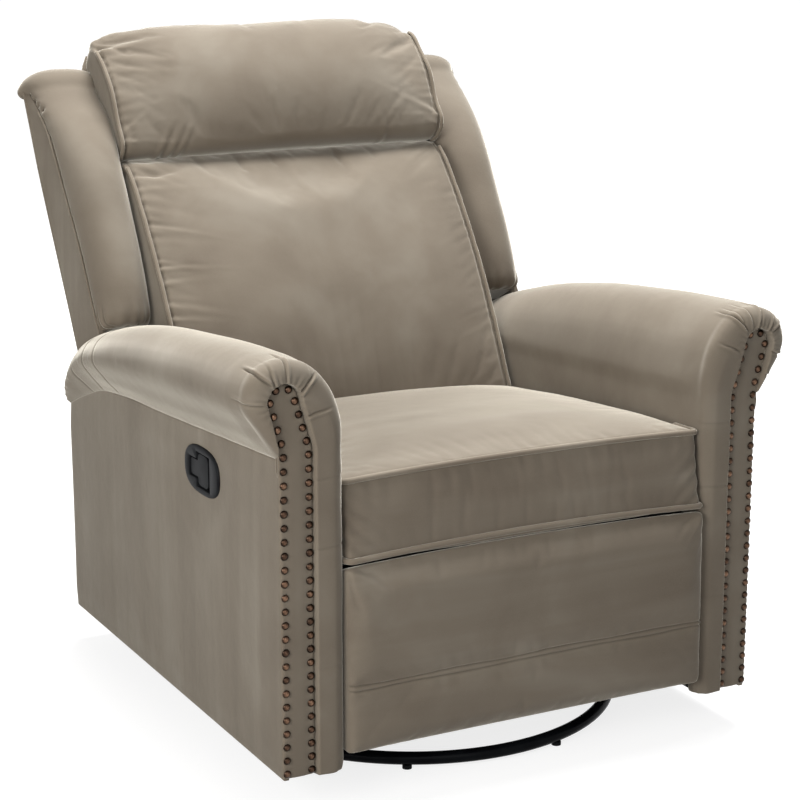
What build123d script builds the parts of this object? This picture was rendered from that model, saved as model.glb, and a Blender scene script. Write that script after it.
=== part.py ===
from build123d import *
import os
from math import atan2, cos, degrees, hypot, pi, radians, sin

# Swivel recliner: rolled arms with nail-head facings, a winged back that reclines, a footrest
# on two pantograph linkages and a tube ring base. Millimetres, +Z up, the front faces -Y, the
# sitter's left hand is towards +X, and the origin is on the floor under the middle.

# Arms and body
ARM_FRONT = -485.0
ARM_LENGTH = 837.0
SEAT_WIDTH = 578.0
ARM_WIDTH = 92.0
BODY_BOTTOM = 58.0
FRAME_LIFT = 2.0
SIDE_PANEL = 9.0
INNER_PANEL = 8.0
REAR_PANEL = 12.0
FRONT_PAD = 30.0
POST_DEPTH = 43.0
RAIL_HEIGHT = 40.0
TOP_RAIL = 24.0
INNER_PANEL_BOTTOM = 330.0
APRON_THICK = 15.0
APRON_INSET = 7.0
APRON_TOP = 385.0
SOFT_GAP = 0.3

# Stations across each cushion as shares of its half width, and where its edges start to round
SPREAD = (-1.0, -0.985, -0.95, -0.87, -0.65, -0.35, 0.0, 0.35, 0.65, 0.87, 0.95, 0.985, 1.0)
ROUND_FROM = 0.9

# Roll of the arm: share of the arm's length, seam height, crest height, overhang past the side
ROLL_STATIONS = (
    (0.000, 505.0, 637.0, 48.0),
    (0.280, 490.0, 623.0, 47.0),
    (0.507, 478.0, 602.0, 45.0),
    (0.699, 468.0, 570.0, 41.0),
    (0.818, 460.0, 540.0, 33.0),
    (0.892, 446.0, 505.0, 21.0),
    (0.945, 424.0, 457.0, 10.0),
    (1.000, 400.0, 412.0, 3.0),
)
ROLL_SHOULDER = 24.0
FRONT_INSETS = ((30.0, 0.0), (10.0, 1.0), (3.0, 4.0), (0.0, 9.0))

# Nail-head facing on each arm front
FACING_WIDTH = 47.5
FACING_THICK = 4.0
FACING_RECESS = 12.0
FACING_KNEE = 12.0
SCROLL_RISE = 78.0
SCROLL_IN = 5.0
SCROLL_RADIUS = 23.0
NAIL_EDGE = 5.5
NAIL_PITCH = 19.0
NAIL_START = 8.0
NAIL_RADIUS = 5.4
NAIL_HEIGHT = 3.4
NAIL_TAPER = 32.0

# Seat
SEAT_DECK = 350.0
SEAT_SETBACK = 18.0
SEAT_DEPTH = 525.0
SEAT_BOX = 113.0
SEAT_CROWN = 17.0
SEAT_EDGE_CROWN = 4.0
SEAT_DRAW = 8.0
SEAT_BULGE = 6.0
SEAT_TOE = 18.0
SEAT_REAR_DROP = 6.0
SEAT_SIDE_GAP = 4.0
DECK_LIP = 22.0
DECK_THICK = 12.0
FRONT_RAIL_DEPTH = 40.0
FRONT_RAIL_SETBACK = 57.0
CROSS_RAIL_HEIGHT = 44.0
REAR_RAIL_DEPTH = 40.0
SIDE_RAIL_Z = 240.0
SIDE_RAIL_HEIGHT = 60.0
SIDE_RAIL_LAP = 16.0
SPRING_COUNT = 5
SPRING_SPACING = 98.0
SPRING_SWING = 24.0
SPRING_PITCH = 23.0
SPRING_WIRE = 4.0
SPRING_DROP = 5.0
CLIP_WIDTH = 18.0
CLIP_LENGTH = 14.0

# Footrest panel
FOOT_PROUD = 7.2
FOOT_SIDE_GAP = 5.0
FOOT_LIFT = 20.0
FOOT_GAP = 10.0
FOOT_PAD = 40.2
FOOT_FALL = 6.0
FOOT_BOARD = 15.0
FOOT_BOARD_INSET = 6.0
FOOT_SEAM = 99.0
FOOT_CROWN = 6.0
FOOT_DRAW = 6.0

# Footrest linkage, seen from the side: places are given from the centre that the panel turns about
CENTRE_BACK = 55.2
CENTRE_RISE = 96.0
FRONT_PIVOT_BACK = 107.0
FRONT_PIVOT_DROP = 146.0
PANEL_PIVOT_BACK = 37.0
PANEL_PIVOT_DROP = 186.0
REAR_PIVOT_BACK = 50.0
REAR_PIVOT_DROP = 20.0
UPPER_SHARE = 0.6
TUBE_SHARE = 0.5
LINK_WIDTH = 20.0
LINK_THICK = 4.0
LAYER_GAP = 1.5
PIN_RADIUS = 4.0
PIN_FIT = 0.05
PIN_HEAD = 7.0
PIN_HEAD_THICK = 2.4
HEAD_GAP = 0.2
DRIVE_TUBE_RADIUS = 9.0
DRIVE_TUBE_WALL = 1.8
MECH_INSET = 17.0
PLATE_THICK = 4.0
PLATE_EDGE = 30.0
BRACKET_FLANGE = 30.0
BRACKET_EDGE = 12.0

# Back, drawn upright about a datum and then leant; the hinge lies behind the datum
BACK_Y = 178.0
BACK_Z = 380.0
HINGE_BACK = 18.0
LEAN = 25.0
BACK_REAR = 43.5
BACK_SKIN = 5.5
POST_WIDTH = 40.0
POST_FRONT = -2.0
POST_BOTTOM = -25.0
POST_TOP = 636.0
BACK_RAIL = 40.0
BACK_RAIL_DEPTH = 30.0
RAIL_LEVELS = (170.0, 400.0, 540.0)
PANEL_BOTTOM = 10.0
PANEL_TOP = 650.0
PANEL_CORNER = 30.0
LUMBAR_BOTTOM = -20.0
LUMBAR_TOP = 436.0
LUMBAR_FRONT_LOW = -118.0
LUMBAR_FRONT_HIGH = -60.0
LUMBAR_BULGE = 45.0
LUMBAR_EDGE_BULGE = 8.0
LUMBAR_DRAW = 7.0
PILLOW_BOTTOM = 443.0
PILLOW_FRONT = -56.0
PILLOW_BULGE = 46.0
PILLOW_EDGE_BULGE = 14.0
PILLOW_DRAW = 8.0
PILLOW_CREST = 684.0
PILLOW_BROW = 46.0
PILLOW_NAPE = 14.0
PILLOW_RISE = 10.0
PILLOW_WIDTH = 574.0
HORN_RADIUS = 16.0
BACK_BRACKET_LENGTH = 165.0

# Wings of the back
WING_BOTTOM = 158.0
WING_TOP = 622.0
WING_CAP = 14.0
WING_NOSE = 34.0
WING_LIP = 3.0
WING_INNER = 302.0
WING_BOARD_INNER = 376.0
WING_BOARD = 12.0
WING_OUT = 11.0

# Wing pad: share of its height, how far it is drawn in, flare past the wing board, front, seam
WING_STATIONS = (
    (0.00, 9.0, -2.0, -100.0, -22.0), (0.02, 4.0, 0.0, -99.0, -21.0), (0.07, 0.0, 0.0, -96.0, -19.5),
    (0.50, 0.0, 0.0, -56.0, -3.0), (0.70, 0.0, 1.0, -31.0, 5.0), (0.80, 0.0, 3.0, -13.0, 9.0),
    (0.90, 0.0, 7.0, -2.0, 14.0), (0.95, 1.0, 10.0, 9.0, 22.0), (0.98, 4.0, 11.0, 16.0, 27.0),
    (1.00, 9.0, 10.0, 23.0, 32.0),
)

# Ring base and swivel
SWIVEL_Y = -125.0
RING_RADIUS = 308.0
RING_TUBE = 9.5
RING_Z = 15.0
GLIDE_COUNT = 8
GLIDE_TURN = 16.0
GLIDE_RADIUS = 7.0
TOUCH = 0.05
SPIDER_ARMS = 4
SPIDER_Z = 62.0
SPIDER_THICK = 5.0
SPIDER_WIDTH = 34.0
SPIDER_FOOT = 22.0
SPIDER_HUB = 100.0
SPIDER_KNEE = 140.0
RACE_RADIUS = 70.0
RACE_PLATE = 90.0
RACE_THICK = 4.0
TOP_PLATE = 200.0
BALL_RADIUS = 5.0
BALL_FIT = 0.3
BALL_RISE = 3.5
BALL_COUNT = 8
CAGE_THICK = 2.0
CAGE_WIDTH = 16.0
BOLT_RADIUS = 8.0
BOLT_HEAD = 13.0
BOLT_HEAD_THICK = 8.0
RAIL_SPREAD = 65.0
BASE_RAIL_WIDTH = 44.0
BASE_RAIL_HEIGHT = 40.0

# Release handle in the right arm
HANDLE_Y = -219.0
HANDLE_Z = 428.0
BEZEL_LENGTH = 124.0
BEZEL_HEIGHT = 81.0
BEZEL_CORNER = 36.0
BEZEL_THICK = 4.0
CUP_LENGTH = 104.0
CUP_HEIGHT = 58.0
CUP_CORNER = 12.0
CUP_DEPTH = 24.0
CUP_WALL = 2.5
CUP_FIT = 0.3
LEVER_AXIS_BACK = 36.0
LEVER_AXIS_DEPTH = 7.0
LEVER_BARREL = 4.0
LEVER_STUB = 2.5
LEVER_THICK = 3.5
LEVER_FRONT = 22.0
LEVER_SHOULDER = 14.0
LEVER_TAIL = 40.0
LEVER_HEIGHT = 46.0
LEVER_TAB = 24.0
LEVER_CORNER = 8.0
LEVER_PROUD = 2.0

# Places that follow from the sizes
INNER_X = SEAT_WIDTH / 2
SIDE_X = INNER_X + ARM_WIDTH
CORE_X = SIDE_X - SIDE_PANEL
FRAME_X = INNER_X + INNER_PANEL
ARM_REAR = ARM_FRONT + ARM_LENGTH
FRAME_FRONT = ARM_FRONT + FRONT_PAD
FACING_BACK = ARM_FRONT + FACING_RECESS
FACING_FRONT = FACING_BACK - FACING_THICK
FRAME_REAR = ARM_REAR - REAR_PANEL
FRAME_Z = BODY_BOTTOM + FRAME_LIFT
POST_FRONT_END = FRAME_FRONT + POST_DEPTH
POST_REAR_START = FRAME_REAR - POST_DEPTH
SEAT_FRONT = ARM_FRONT + SEAT_SETBACK
SEAT_REAR = SEAT_FRONT + SEAT_DEPTH
SEAT_HALF = INNER_X - SEAT_SIDE_GAP
DECK_FRONT = SEAT_FRONT + DECK_LIP
FRONT_RAIL_Y = DECK_FRONT + FRONT_RAIL_SETBACK
FRONT_RAIL_REAR = FRONT_RAIL_Y + FRONT_RAIL_DEPTH
REAR_RAIL_Y = SEAT_REAR - REAR_RAIL_DEPTH
CROSS_RAIL_Z = SEAT_DECK - CROSS_RAIL_HEIGHT
PLATE_X = INNER_X - MECH_INSET
PLATE_IN = PLATE_X - PLATE_THICK
LINK_ONE = PLATE_IN - LAYER_GAP
LINK_TWO = LINK_ONE - LINK_THICK - LAYER_GAP
FOOT_FRONT = ARM_FRONT - FOOT_PROUD
FOOT_HALF = INNER_X - FOOT_SIDE_GAP
FOOT_BOTTOM = BODY_BOTTOM + FOOT_LIFT
FOOT_TOP = SEAT_DECK - FOOT_GAP
FOOT_BOARD_FRONT = FOOT_FRONT + FOOT_PAD
FOOT_REAR = FOOT_BOARD_FRONT + FOOT_BOARD
HUB_TOP = SPIDER_Z + SPIDER_THICK
RACE_TOP = HUB_TOP + RACE_THICK
BALL_Z = RACE_TOP + BALL_RISE
UPPER_Z = BALL_Z + BALL_RISE
BASE_RAIL_Z = UPPER_Z + RACE_THICK
PANEL_FRONT = BACK_REAR - BACK_SKIN
RAIL_FRONT = PANEL_FRONT - BACK_RAIL_DEPTH
POST_X = LINK_ONE - LINK_THICK
WING_BOARD_OUTER = WING_BOARD_INNER + WING_BOARD
WING_FOLD = RAIL_LEVELS[-1] + BACK_RAIL + SOFT_GAP


def shifted(point, step, share=1.0):
    return (point[0] + step[0] * share, point[1] + step[1] * share)


# Pivots of the footrest linkage in the side view, as (y, z)
CENTRE = (FOOT_FRONT + CENTRE_BACK, FOOT_TOP + CENTRE_RISE)
PIVOT_B = shifted(CENTRE, (FRONT_PIVOT_BACK, -FRONT_PIVOT_DROP))
PIVOT_E = shifted(CENTRE, (PANEL_PIVOT_BACK, -PANEL_PIVOT_DROP))
SWING = (PIVOT_E[0] - CENTRE[0], PIVOT_E[1] - CENTRE[1])
REACH = (-FRONT_PIVOT_BACK, FRONT_PIVOT_DROP)
REAR_STEP = (REAR_PIVOT_BACK, -REAR_PIVOT_DROP)
PIVOT_D = shifted(PIVOT_B, SWING)
PIVOT_A = shifted(PIVOT_B, REAR_STEP)
PIVOT_C = shifted(PIVOT_D, REAR_STEP)
PIVOT_F = shifted(PIVOT_B, SWING, UPPER_SHARE)
PIVOT_G = shifted(PIVOT_F, REACH)
TUBE_AT = shifted(PIVOT_A, SWING, TUBE_SHARE)
PIVOT_H = (BACK_Y + HINGE_BACK * cos(radians(LEAN)), BACK_Z - HINGE_BACK * sin(radians(LEAN)))


def block(x0, x1, y0, y1, z0, z1):
    return Pos((x0 + x1) / 2, (y0 + y1) / 2, (z0 + z1) / 2) * Box(x1 - x0, y1 - y0, z1 - z0)


def other_side(shape):
    return mirror(shape, about=Plane.YZ)


def side_cut(points, x0, x1):
    """A side-view outline (y, z) carried across from x0 to x1."""
    face = make_face(Polyline(*points, close=True))
    return extrude(Plane.YZ.offset(x0) * face, x1 - x0)


def side_face(sketch, x0, x1):
    return extrude(Plane.YZ.offset(x0) * sketch, x1 - x0)


def line(a, b):
    return Edge.make_line(a, b)


def arc(a, via, b):
    return Edge.make_three_point_arc(a, via, b)


def quarter(start, end, corner, full=0.73):
    """A point on the rounded way from start to end, drawn out towards the corner between them."""
    middle = Vector(*start) * 0.5 + Vector(*end) * 0.5
    return tuple(middle + (Vector(*corner) - middle) * (2 * full - 1))


def loop(edges):
    return Wire(edges)


def spread(half, draw, edge_swell, swell):
    """Stations across a cushion as (x, how far its edge is drawn in, how far its face swells)."""
    rows = []
    for share in SPREAD:
        t = abs(share)
        inward = draw * max(0.0, (t - ROUND_FROM) / (1 - ROUND_FROM)) ** 2
        rows.append((share * half, inward, edge_swell + (swell - edge_swell) * (1 - t ** 2.4)))
    return rows


def save(name, *solids):
    shape = solids[0] if len(solids) == 1 else Compound(children=list(solids))
    export_step(shape, f"parts/{name}.step")


# Arms

def seam_points():
    return [(ARM_FRONT + share * ARM_LENGTH, seam) for share, seam, _, _ in ROLL_STATIONS]


def seam_at(y):
    points = seam_points()
    for (y0, z0), (y1, z1) in zip(points, points[1:]):
        if y <= y1:
            return z0 + (z1 - z0) * (y - y0) / (y1 - y0)
    return points[-1][1]


def seam_between(y0, y1, drop=0.0):
    """The seam line from y0 to y1 as points, lowered by drop."""
    inside = [(y, z - drop) for y, z in seam_points() if y0 < y < y1]
    return [(y0, seam_at(y0) - drop)] + inside + [(y1, seam_at(y1) - drop)]


def arm_loop(y, seam, crest, over, foot, inset=0.0):
    """Front-view outline of an arm at y, from the foot up the outside and over the roll."""
    height = crest - seam
    inner = INNER_X + inset
    side = (CORE_X, y, seam)
    outer = (SIDE_X + over - inset, y, seam + 0.63 * height)
    under = (SIDE_X + 0.62 * over - 0.4 * inset, y, seam + 0.24 * height)
    top = (SIDE_X + 0.12 * over, y, crest - inset)
    shoulder = (inner + ROLL_SHOULDER, y, seam + 0.66 * height - 0.4 * inset)
    waist = (inner, y, seam - 0.1 * height)
    over_top = quarter(outer, top, (outer[0], y, top[2]))
    round_in = quarter(top, shoulder, (shoulder[0], y, top[2]))
    return loop([
        line((inner, y, foot), (CORE_X, y, foot)),
        line((CORE_X, y, foot), side),
        arc(side, under, outer),
        arc(outer, over_top, top),
        arc(top, round_in, shoulder),
        line(shoulder, waist),
        line(waist, (inner, y, foot)),
    ])


def arm_roll():
    """The padded roll, lofted along the arm and bedded on the seam line of the frame below."""
    loops = []
    for share, seam, crest, over in ROLL_STATIONS:
        y = max(ARM_FRONT + share * ARM_LENGTH, FRAME_FRONT)
        loops.append(arm_loop(y, seam, crest, over, seam - RAIL_HEIGHT))
    roll = Solid.make_loft(loops, ruled=True)
    reach = SIDE_X + ROLL_STATIONS[0][3] + FRONT_PAD
    bed = [(y, z + SOFT_GAP) for y, z in seam_points()]
    bed = [(ARM_FRONT - FRONT_PAD, bed[0][1])] + bed + [(ARM_REAR + FRONT_PAD, bed[-1][1])]
    low = BODY_BOTTOM
    bed += [(ARM_REAR + FRONT_PAD, low), (ARM_FRONT - FRONT_PAD, low)]
    return roll - side_cut(bed, INNER_X - FRONT_PAD, reach)


def arm_front():
    """The padded front of the arm, drawn in towards its face, with the pocket of the facing."""
    _, seam, crest, over = ROLL_STATIONS[0]
    loops = []
    for behind, inset in FRONT_INSETS:
        y = ARM_FRONT + behind * FRONT_PAD / FRONT_INSETS[0][0]
        loops.append(arm_loop(y - (SOFT_GAP if inset == 0 else 0), seam, crest, over, FRAME_Z, inset))
    pocket = make_face(facing_edges(-SOFT_GAP, -FRAME_LIFT))
    depth = FACING_RECESS + NAIL_HEIGHT
    return Solid.make_loft(loops, ruled=True) - extrude(Plane.XZ.offset(-FACING_BACK) * pocket, depth)


def outer_side():
    """The covered side panel with its return round the rear of the arm."""
    outline = [(FACING_BACK, BODY_BOTTOM), (ARM_REAR, BODY_BOTTOM)]
    outline += list(reversed(seam_between(FACING_BACK, ARM_REAR)))
    panel = side_cut(outline, CORE_X, SIDE_X)
    rear = block(FRAME_X, CORE_X, FRAME_REAR, ARM_REAR, BODY_BOTTOM, seam_at(ARM_REAR))
    return panel + rear


def inner_side():
    outline = [(FRAME_FRONT, INNER_PANEL_BOTTOM), (POST_REAR_START, INNER_PANEL_BOTTOM)]
    outline += list(reversed(seam_between(FRAME_FRONT, POST_REAR_START)))
    return side_cut(outline, INNER_X, FRAME_X)


def arm_frame():
    """Front post, rear post, bottom rail and sloping top rail of one arm."""
    front_top = seam_at(POST_FRONT_END)
    rear_top = seam_at(FRAME_REAR)
    top = seam_between(POST_FRONT_END, POST_REAR_START)
    under = seam_between(POST_FRONT_END, POST_REAR_START, TOP_RAIL)
    return [
        block(FRAME_X, CORE_X, FRAME_FRONT, POST_FRONT_END, FRAME_Z, front_top),
        block(FRAME_X, CORE_X, POST_REAR_START, FRAME_REAR, FRAME_Z, rear_top),
        block(FRAME_X, CORE_X, POST_FRONT_END, POST_REAR_START, FRAME_Z, FRAME_Z + RAIL_HEIGHT),
        side_cut(top + list(reversed(under)), FRAME_X, CORE_X),
    ]


def facing_points(edge=0.0, start=0.0):
    """Corners of the facing, edge inside its outline: up the outside, over and down the inside."""
    seam = ROLL_STATIONS[0][1]
    knee = seam + FACING_KNEE
    x, z = SIDE_X - SCROLL_IN, seam + SCROLL_RISE
    radius = SCROLL_RADIUS - edge
    return [
        (SIDE_X - edge, FRAME_Z + start), (SIDE_X - edge, knee), (x + radius, z),
        (x, z + radius), (x - radius, z),
        (SIDE_X - FACING_WIDTH + edge, knee), (SIDE_X - FACING_WIDTH + edge, FRAME_Z + start),
    ]


def facing_edges(edge=0.0, start=0.0):
    a, b, c, top, d, e, f = facing_points(edge, start)
    return [Line(a, b), Line(b, c), ThreePointArc(c, top, d), Line(d, e), Line(e, f), Line(f, a)]


def arm_facing():
    face = make_face(facing_edges())
    return extrude(Plane.XZ.offset(-FACING_BACK) * face, FACING_THICK)


def facing_nails():
    """Tapered nail heads, evenly spaced round the facing."""
    path = Wire([edge.edge() for edge in facing_edges(NAIL_EDGE, NAIL_START)[:5]])
    steps = round(path.length / NAIL_PITCH)
    head = extrude(Plane.XZ * RegularPolygon(NAIL_RADIUS, 8), NAIL_HEIGHT, taper=NAIL_TAPER)
    nails = []
    for i in range(steps + 1):
        spot = path.position_at(i / steps)
        nails.append(Pos(spot.X, FACING_FRONT, spot.Y) * head)
    return nails


def rear_apron():
    half = FRAME_X - SOFT_GAP
    rear = ARM_REAR - APRON_INSET
    return block(-half, half, rear - APRON_THICK, rear, BODY_BOTTOM, APRON_TOP)


# Seat

def seat_loop(x, draw, crown):
    """Side-view outline of the seat cushion at x: flat below, bulging in front, crowned on top."""
    low = SEAT_DECK + SOFT_GAP + 0.6 * draw
    front, rear = SEAT_FRONT + draw, SEAT_REAR - draw
    high = SEAT_DECK + SEAT_BOX - 0.3 * draw
    back_high = high - SEAT_REAR_DROP
    toe = front - SEAT_TOE
    nose = (x, (front + toe) / 2 - SEAT_BULGE + 0.5 * draw, (low + high) / 2)
    peak = (x, (front + rear) / 2 - 0.1 * SEAT_DEPTH, high + crown)
    return loop([
        line((x, rear, low), (x, toe, low)),
        arc((x, toe, low), nose, (x, front, high)),
        arc((x, front, high), peak, (x, rear, back_high)),
        line((x, rear, back_high), (x, rear, low)),
    ])


def seat_cushion():
    rows = spread(SEAT_HALF, SEAT_DRAW, SEAT_EDGE_CROWN, SEAT_CROWN)
    return Solid.make_loft([seat_loop(*row) for row in rows], ruled=True)


def seat_front_rail():
    under = SEAT_DECK - DECK_THICK
    outline = [
        (DECK_FRONT, under), (FRONT_RAIL_Y, under), (FRONT_RAIL_Y, CROSS_RAIL_Z),
        (FRONT_RAIL_REAR, CROSS_RAIL_Z), (FRONT_RAIL_REAR, SEAT_DECK), (DECK_FRONT, SEAT_DECK),
    ]
    return side_cut(outline, -PLATE_IN, PLATE_IN)


def seat_rear_rail():
    return block(-PLATE_IN, PLATE_IN, REAR_RAIL_Y, SEAT_REAR, CROSS_RAIL_Z, SEAT_DECK)


def seat_side_rail():
    y0 = POST_FRONT_END - SIDE_RAIL_LAP
    y1 = POST_REAR_START + SIDE_RAIL_LAP
    return block(PLATE_X, FRAME_X, y0, y1, SIDE_RAIL_Z, SIDE_RAIL_Z + SIDE_RAIL_HEIGHT)


def seat_springs():
    """Zigzag springs clipped to the facing sides of the two cross rails."""
    start, end = FRONT_RAIL_REAR, REAR_RAIL_Y
    top = SEAT_DECK - SPRING_DROP
    run = end - start - CLIP_LENGTH
    turns = 2 * round(run / SPRING_PITCH / 2)
    step = run / turns
    springs = []
    for i in range(SPRING_COUNT):
        x = (i - (SPRING_COUNT - 1) / 2) * SPRING_SPACING
        first = start + CLIP_LENGTH / 2
        line_points = [(x, first)]
        for k in range(1, turns):
            line_points.append((x + (SPRING_SWING if k % 2 else -SPRING_SWING), first + k * step))
        line_points.append((x, first + run))
        outline = offset(Polyline(*line_points), SPRING_WIRE / 2, kind=Kind.INTERSECTION, side=Side.BOTH)
        wire = extrude(Pos(0, 0, top - SPRING_WIRE) * make_face(outline), SPRING_WIRE)
        for y0 in (start, end - CLIP_LENGTH):
            half = CLIP_WIDTH / 2
            wire += block(x - half, x + half, y0, y0 + CLIP_LENGTH, top - SPRING_WIRE, top)
        springs.append(wire)
    return springs


# Footrest and its linkage

def link_sketch(points, width):
    """Bars of one width through the points, rounded at the ends, with a pin hole at each point."""
    shape = None
    for (y0, z0), (y1, z1) in zip(points, points[1:]):
        bar = SlotCenterToCenter(hypot(y1 - y0, z1 - z0), width, degrees(atan2(z1 - z0, y1 - y0)))
        bar = Pos((y0 + y1) / 2, (z0 + z1) / 2) * bar
        shape = bar if shape is None else shape + bar
    return shape


def holes(points, radius):
    shape = None
    for y, z in points:
        hole = Pos(y, z) * Circle(radius)
        shape = hole if shape is None else shape + hole
    return shape


def link(points, outer_x):
    sketch = link_sketch(points, LINK_WIDTH) - holes(points, PIN_RADIUS + PIN_FIT)
    return side_face(sketch, outer_x - LINK_THICK, outer_x)


def front_link():
    sketch = link_sketch([PIVOT_B, PIVOT_D], LINK_WIDTH)
    sketch -= holes([PIVOT_B, PIVOT_F, PIVOT_D], PIN_RADIUS + PIN_FIT)
    return side_face(sketch, LINK_ONE - LINK_THICK, LINK_ONE)


def pin_along_x(at, x0, x1, head_low):
    """A headed pin from x0 to x1; its head lies beyond x0 when head_low is true, else beyond x1."""
    y, z = at
    shank = Pos((x0 + x1) / 2, y, z) * Rot(0, 90, 0) * Cylinder(PIN_RADIUS, x1 - x0)
    middle = x0 - PIN_HEAD_THICK / 2 if head_low else x1 + PIN_HEAD_THICK / 2
    return shank + Pos(middle, y, z) * Rot(0, 90, 0) * Cylinder(PIN_HEAD, PIN_HEAD_THICK)


def link_pin(at):
    return pin_along_x(at, LINK_TWO - LINK_THICK - HEAD_GAP, LINK_ONE, True)


def frame_pin(at):
    return pin_along_x(at, LINK_ONE - LINK_THICK - HEAD_GAP, PLATE_X, True)


def hinge_pin():
    return pin_along_x(PIVOT_H, LINK_ONE - LINK_THICK + HEAD_GAP, PLATE_X + HEAD_GAP, False)


def drive_tube():
    half = LINK_ONE - LINK_THICK
    y, z = TUBE_AT
    tube = Cylinder(DRIVE_TUBE_RADIUS, 2 * half) - Cylinder(DRIVE_TUBE_RADIUS - DRIVE_TUBE_WALL, 2 * half)
    return Pos(0, y, z) * Rot(0, 90, 0) * tube


def mech_plate():
    """Side plate of the mechanism: front arm under the seat rail, long bar, horn up to the back hinge."""
    low = PIVOT_A[1] - PLATE_EDGE
    high = CROSS_RAIL_Z + FRAME_LIFT * 3
    front, rear = PIVOT_B[0] - LINK_WIDTH, PIVOT_H[0] + HORN_RADIUS
    bar = Pos((front + rear) / 2, (low + high) / 2) * Rectangle(rear - front, high - low)
    arm_front_y, arm_top = FRONT_RAIL_Y - FRAME_LIFT * 2, SEAT_DECK - DECK_THICK
    arm_low = PIVOT_B[1] - LINK_WIDTH / 2
    arm = Pos((arm_front_y + front + LINK_WIDTH) / 2, (arm_low + arm_top) / 2)
    arm *= Rectangle(front + LINK_WIDTH - arm_front_y, arm_top - arm_low)
    horn_low = low + HORN_RADIUS
    horn = Pos(PIVOT_H[0], (horn_low + PIVOT_H[1]) / 2)
    horn *= SlotCenterToCenter(PIVOT_H[1] - horn_low, 2 * HORN_RADIUS, 90)
    sketch = bar + arm + horn - holes([PIVOT_A, PIVOT_B, PIVOT_H], PIN_RADIUS + PIN_FIT)
    return side_face(sketch, PLATE_IN, PLATE_X)


def footrest_bracket():
    """Plate with the two panel pivots and a flange screwed to the back of the board."""
    y0 = FOOT_REAR
    rear = PIVOT_E[0] + BRACKET_EDGE
    low, high = PIVOT_E[1] - BRACKET_EDGE, PIVOT_G[1] + LINK_WIDTH / 2
    outline = [(y0, low), (rear, low), (rear, PIVOT_E[1]), (PIVOT_G[0] + BRACKET_EDGE, high), (y0, high)]
    face = make_face(Polyline(*outline, close=True)) - holes([PIVOT_E, PIVOT_G], PIN_RADIUS + PIN_FIT)
    plate = side_face(face, LINK_ONE - LINK_THICK, LINK_ONE)
    return plate + block(LINK_ONE - BRACKET_FLANGE, LINK_ONE, y0, y0 + LINK_THICK, low, high)


def footrest_board():
    half = FOOT_HALF - FOOT_BOARD_INSET
    low, high = FOOT_BOTTOM + FOOT_BOARD_INSET, FOOT_TOP - FOOT_BOARD_INSET
    return block(-half, half, FOOT_BOARD_FRONT, FOOT_REAR, low, high)


def footrest_loop(x, draw):
    """Side-view outline of the footrest pad at x: two swelling bands with the seam drawn in."""
    back = FOOT_BOARD_FRONT - SOFT_GAP
    low, high = FOOT_BOTTOM + draw, FOOT_TOP - draw
    seam = FOOT_BOTTOM + FOOT_SEAM
    front = FOOT_FRONT + 1.2 * draw
    edge = front + FOOT_CROWN
    return loop([
        line((x, back, low), (x, back, high - FOOT_FALL)),
        line((x, back, high - FOOT_FALL), (x, edge, high)),
        arc((x, edge, high), (x, front, (high + seam) / 2), (x, edge - 1.0, seam)),
        arc((x, edge - 1.0, seam), (x, front + 0.5, (low + seam) / 2), (x, edge, low)),
        line((x, edge, low), (x, back, low)),
    ])


def footrest_pad():
    rows = spread(FOOT_HALF, FOOT_DRAW, 0.0, 0.0)
    return Solid.make_loft([footrest_loop(x, draw) for x, draw, _ in rows], ruled=True)


# The back

def leant(shape):
    return Pos(0, BACK_Y, BACK_Z) * Rot(-LEAN, 0, 0) * shape


def back_frame():
    """Two posts, three rails between them and the blocks that carry the wing boards."""
    post_in = POST_X - POST_WIDTH
    solids = []
    for sign in (1, -1):
        x0, x1 = sorted((sign * post_in, sign * POST_X))
        solids.append(block(x0, x1, POST_FRONT, PANEL_FRONT, POST_BOTTOM, POST_TOP))
    for level in RAIL_LEVELS:
        solids.append(block(-post_in, post_in, RAIL_FRONT, PANEL_FRONT, level, level + BACK_RAIL))
    for level in (RAIL_LEVELS[0], RAIL_LEVELS[-1]):
        for sign in (1, -1):
            x0, x1 = sorted((sign * POST_X, sign * WING_BOARD_INNER))
            solids.append(block(x0, x1, RAIL_FRONT, PANEL_FRONT, level, level + BACK_RAIL))
    return [leant(solid) for solid in solids]


def back_panel():
    """The covered outside back: wide behind the wings, narrow where it passes between the arms."""
    low = POST_X + LINK_THICK
    wide = WING_BOARD_OUTER
    top = wide - PANEL_CORNER
    shoulder = WING_TOP - WING_CAP
    outline = [
        (-low, PANEL_BOTTOM), (low, PANEL_BOTTOM), (low, WING_BOTTOM), (wide, WING_BOTTOM),
        (wide, shoulder), (top, PANEL_TOP), (-top, PANEL_TOP), (-wide, shoulder),
        (-wide, WING_BOTTOM), (-low, WING_BOTTOM),
    ]
    face = make_face(Polyline(*outline, close=True))
    return leant(extrude(Plane.XZ.offset(-BACK_REAR) * face, BACK_SKIN))


def lumbar_loop(x, draw, bulge):
    back = POST_FRONT - SOFT_GAP
    low, high = LUMBAR_BOTTOM + draw, LUMBAR_TOP - draw
    front_low, front_high = LUMBAR_FRONT_LOW + draw, LUMBAR_FRONT_HIGH + 0.6 * draw
    swell = (x, (front_low + front_high) / 2 - bulge, (low + high) / 2)
    return loop([
        line((x, back, low), (x, front_low, low)),
        arc((x, front_low, low), swell, (x, front_high, high)),
        line((x, front_high, high), (x, back, high)),
        line((x, back, high), (x, back, low)),
    ])


def lumbar_cushion():
    rows = spread(SEAT_HALF, LUMBAR_DRAW, LUMBAR_EDGE_BULGE, LUMBAR_BULGE)
    return leant(Solid.make_loft([lumbar_loop(*row) for row in rows], ruled=True))


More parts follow.
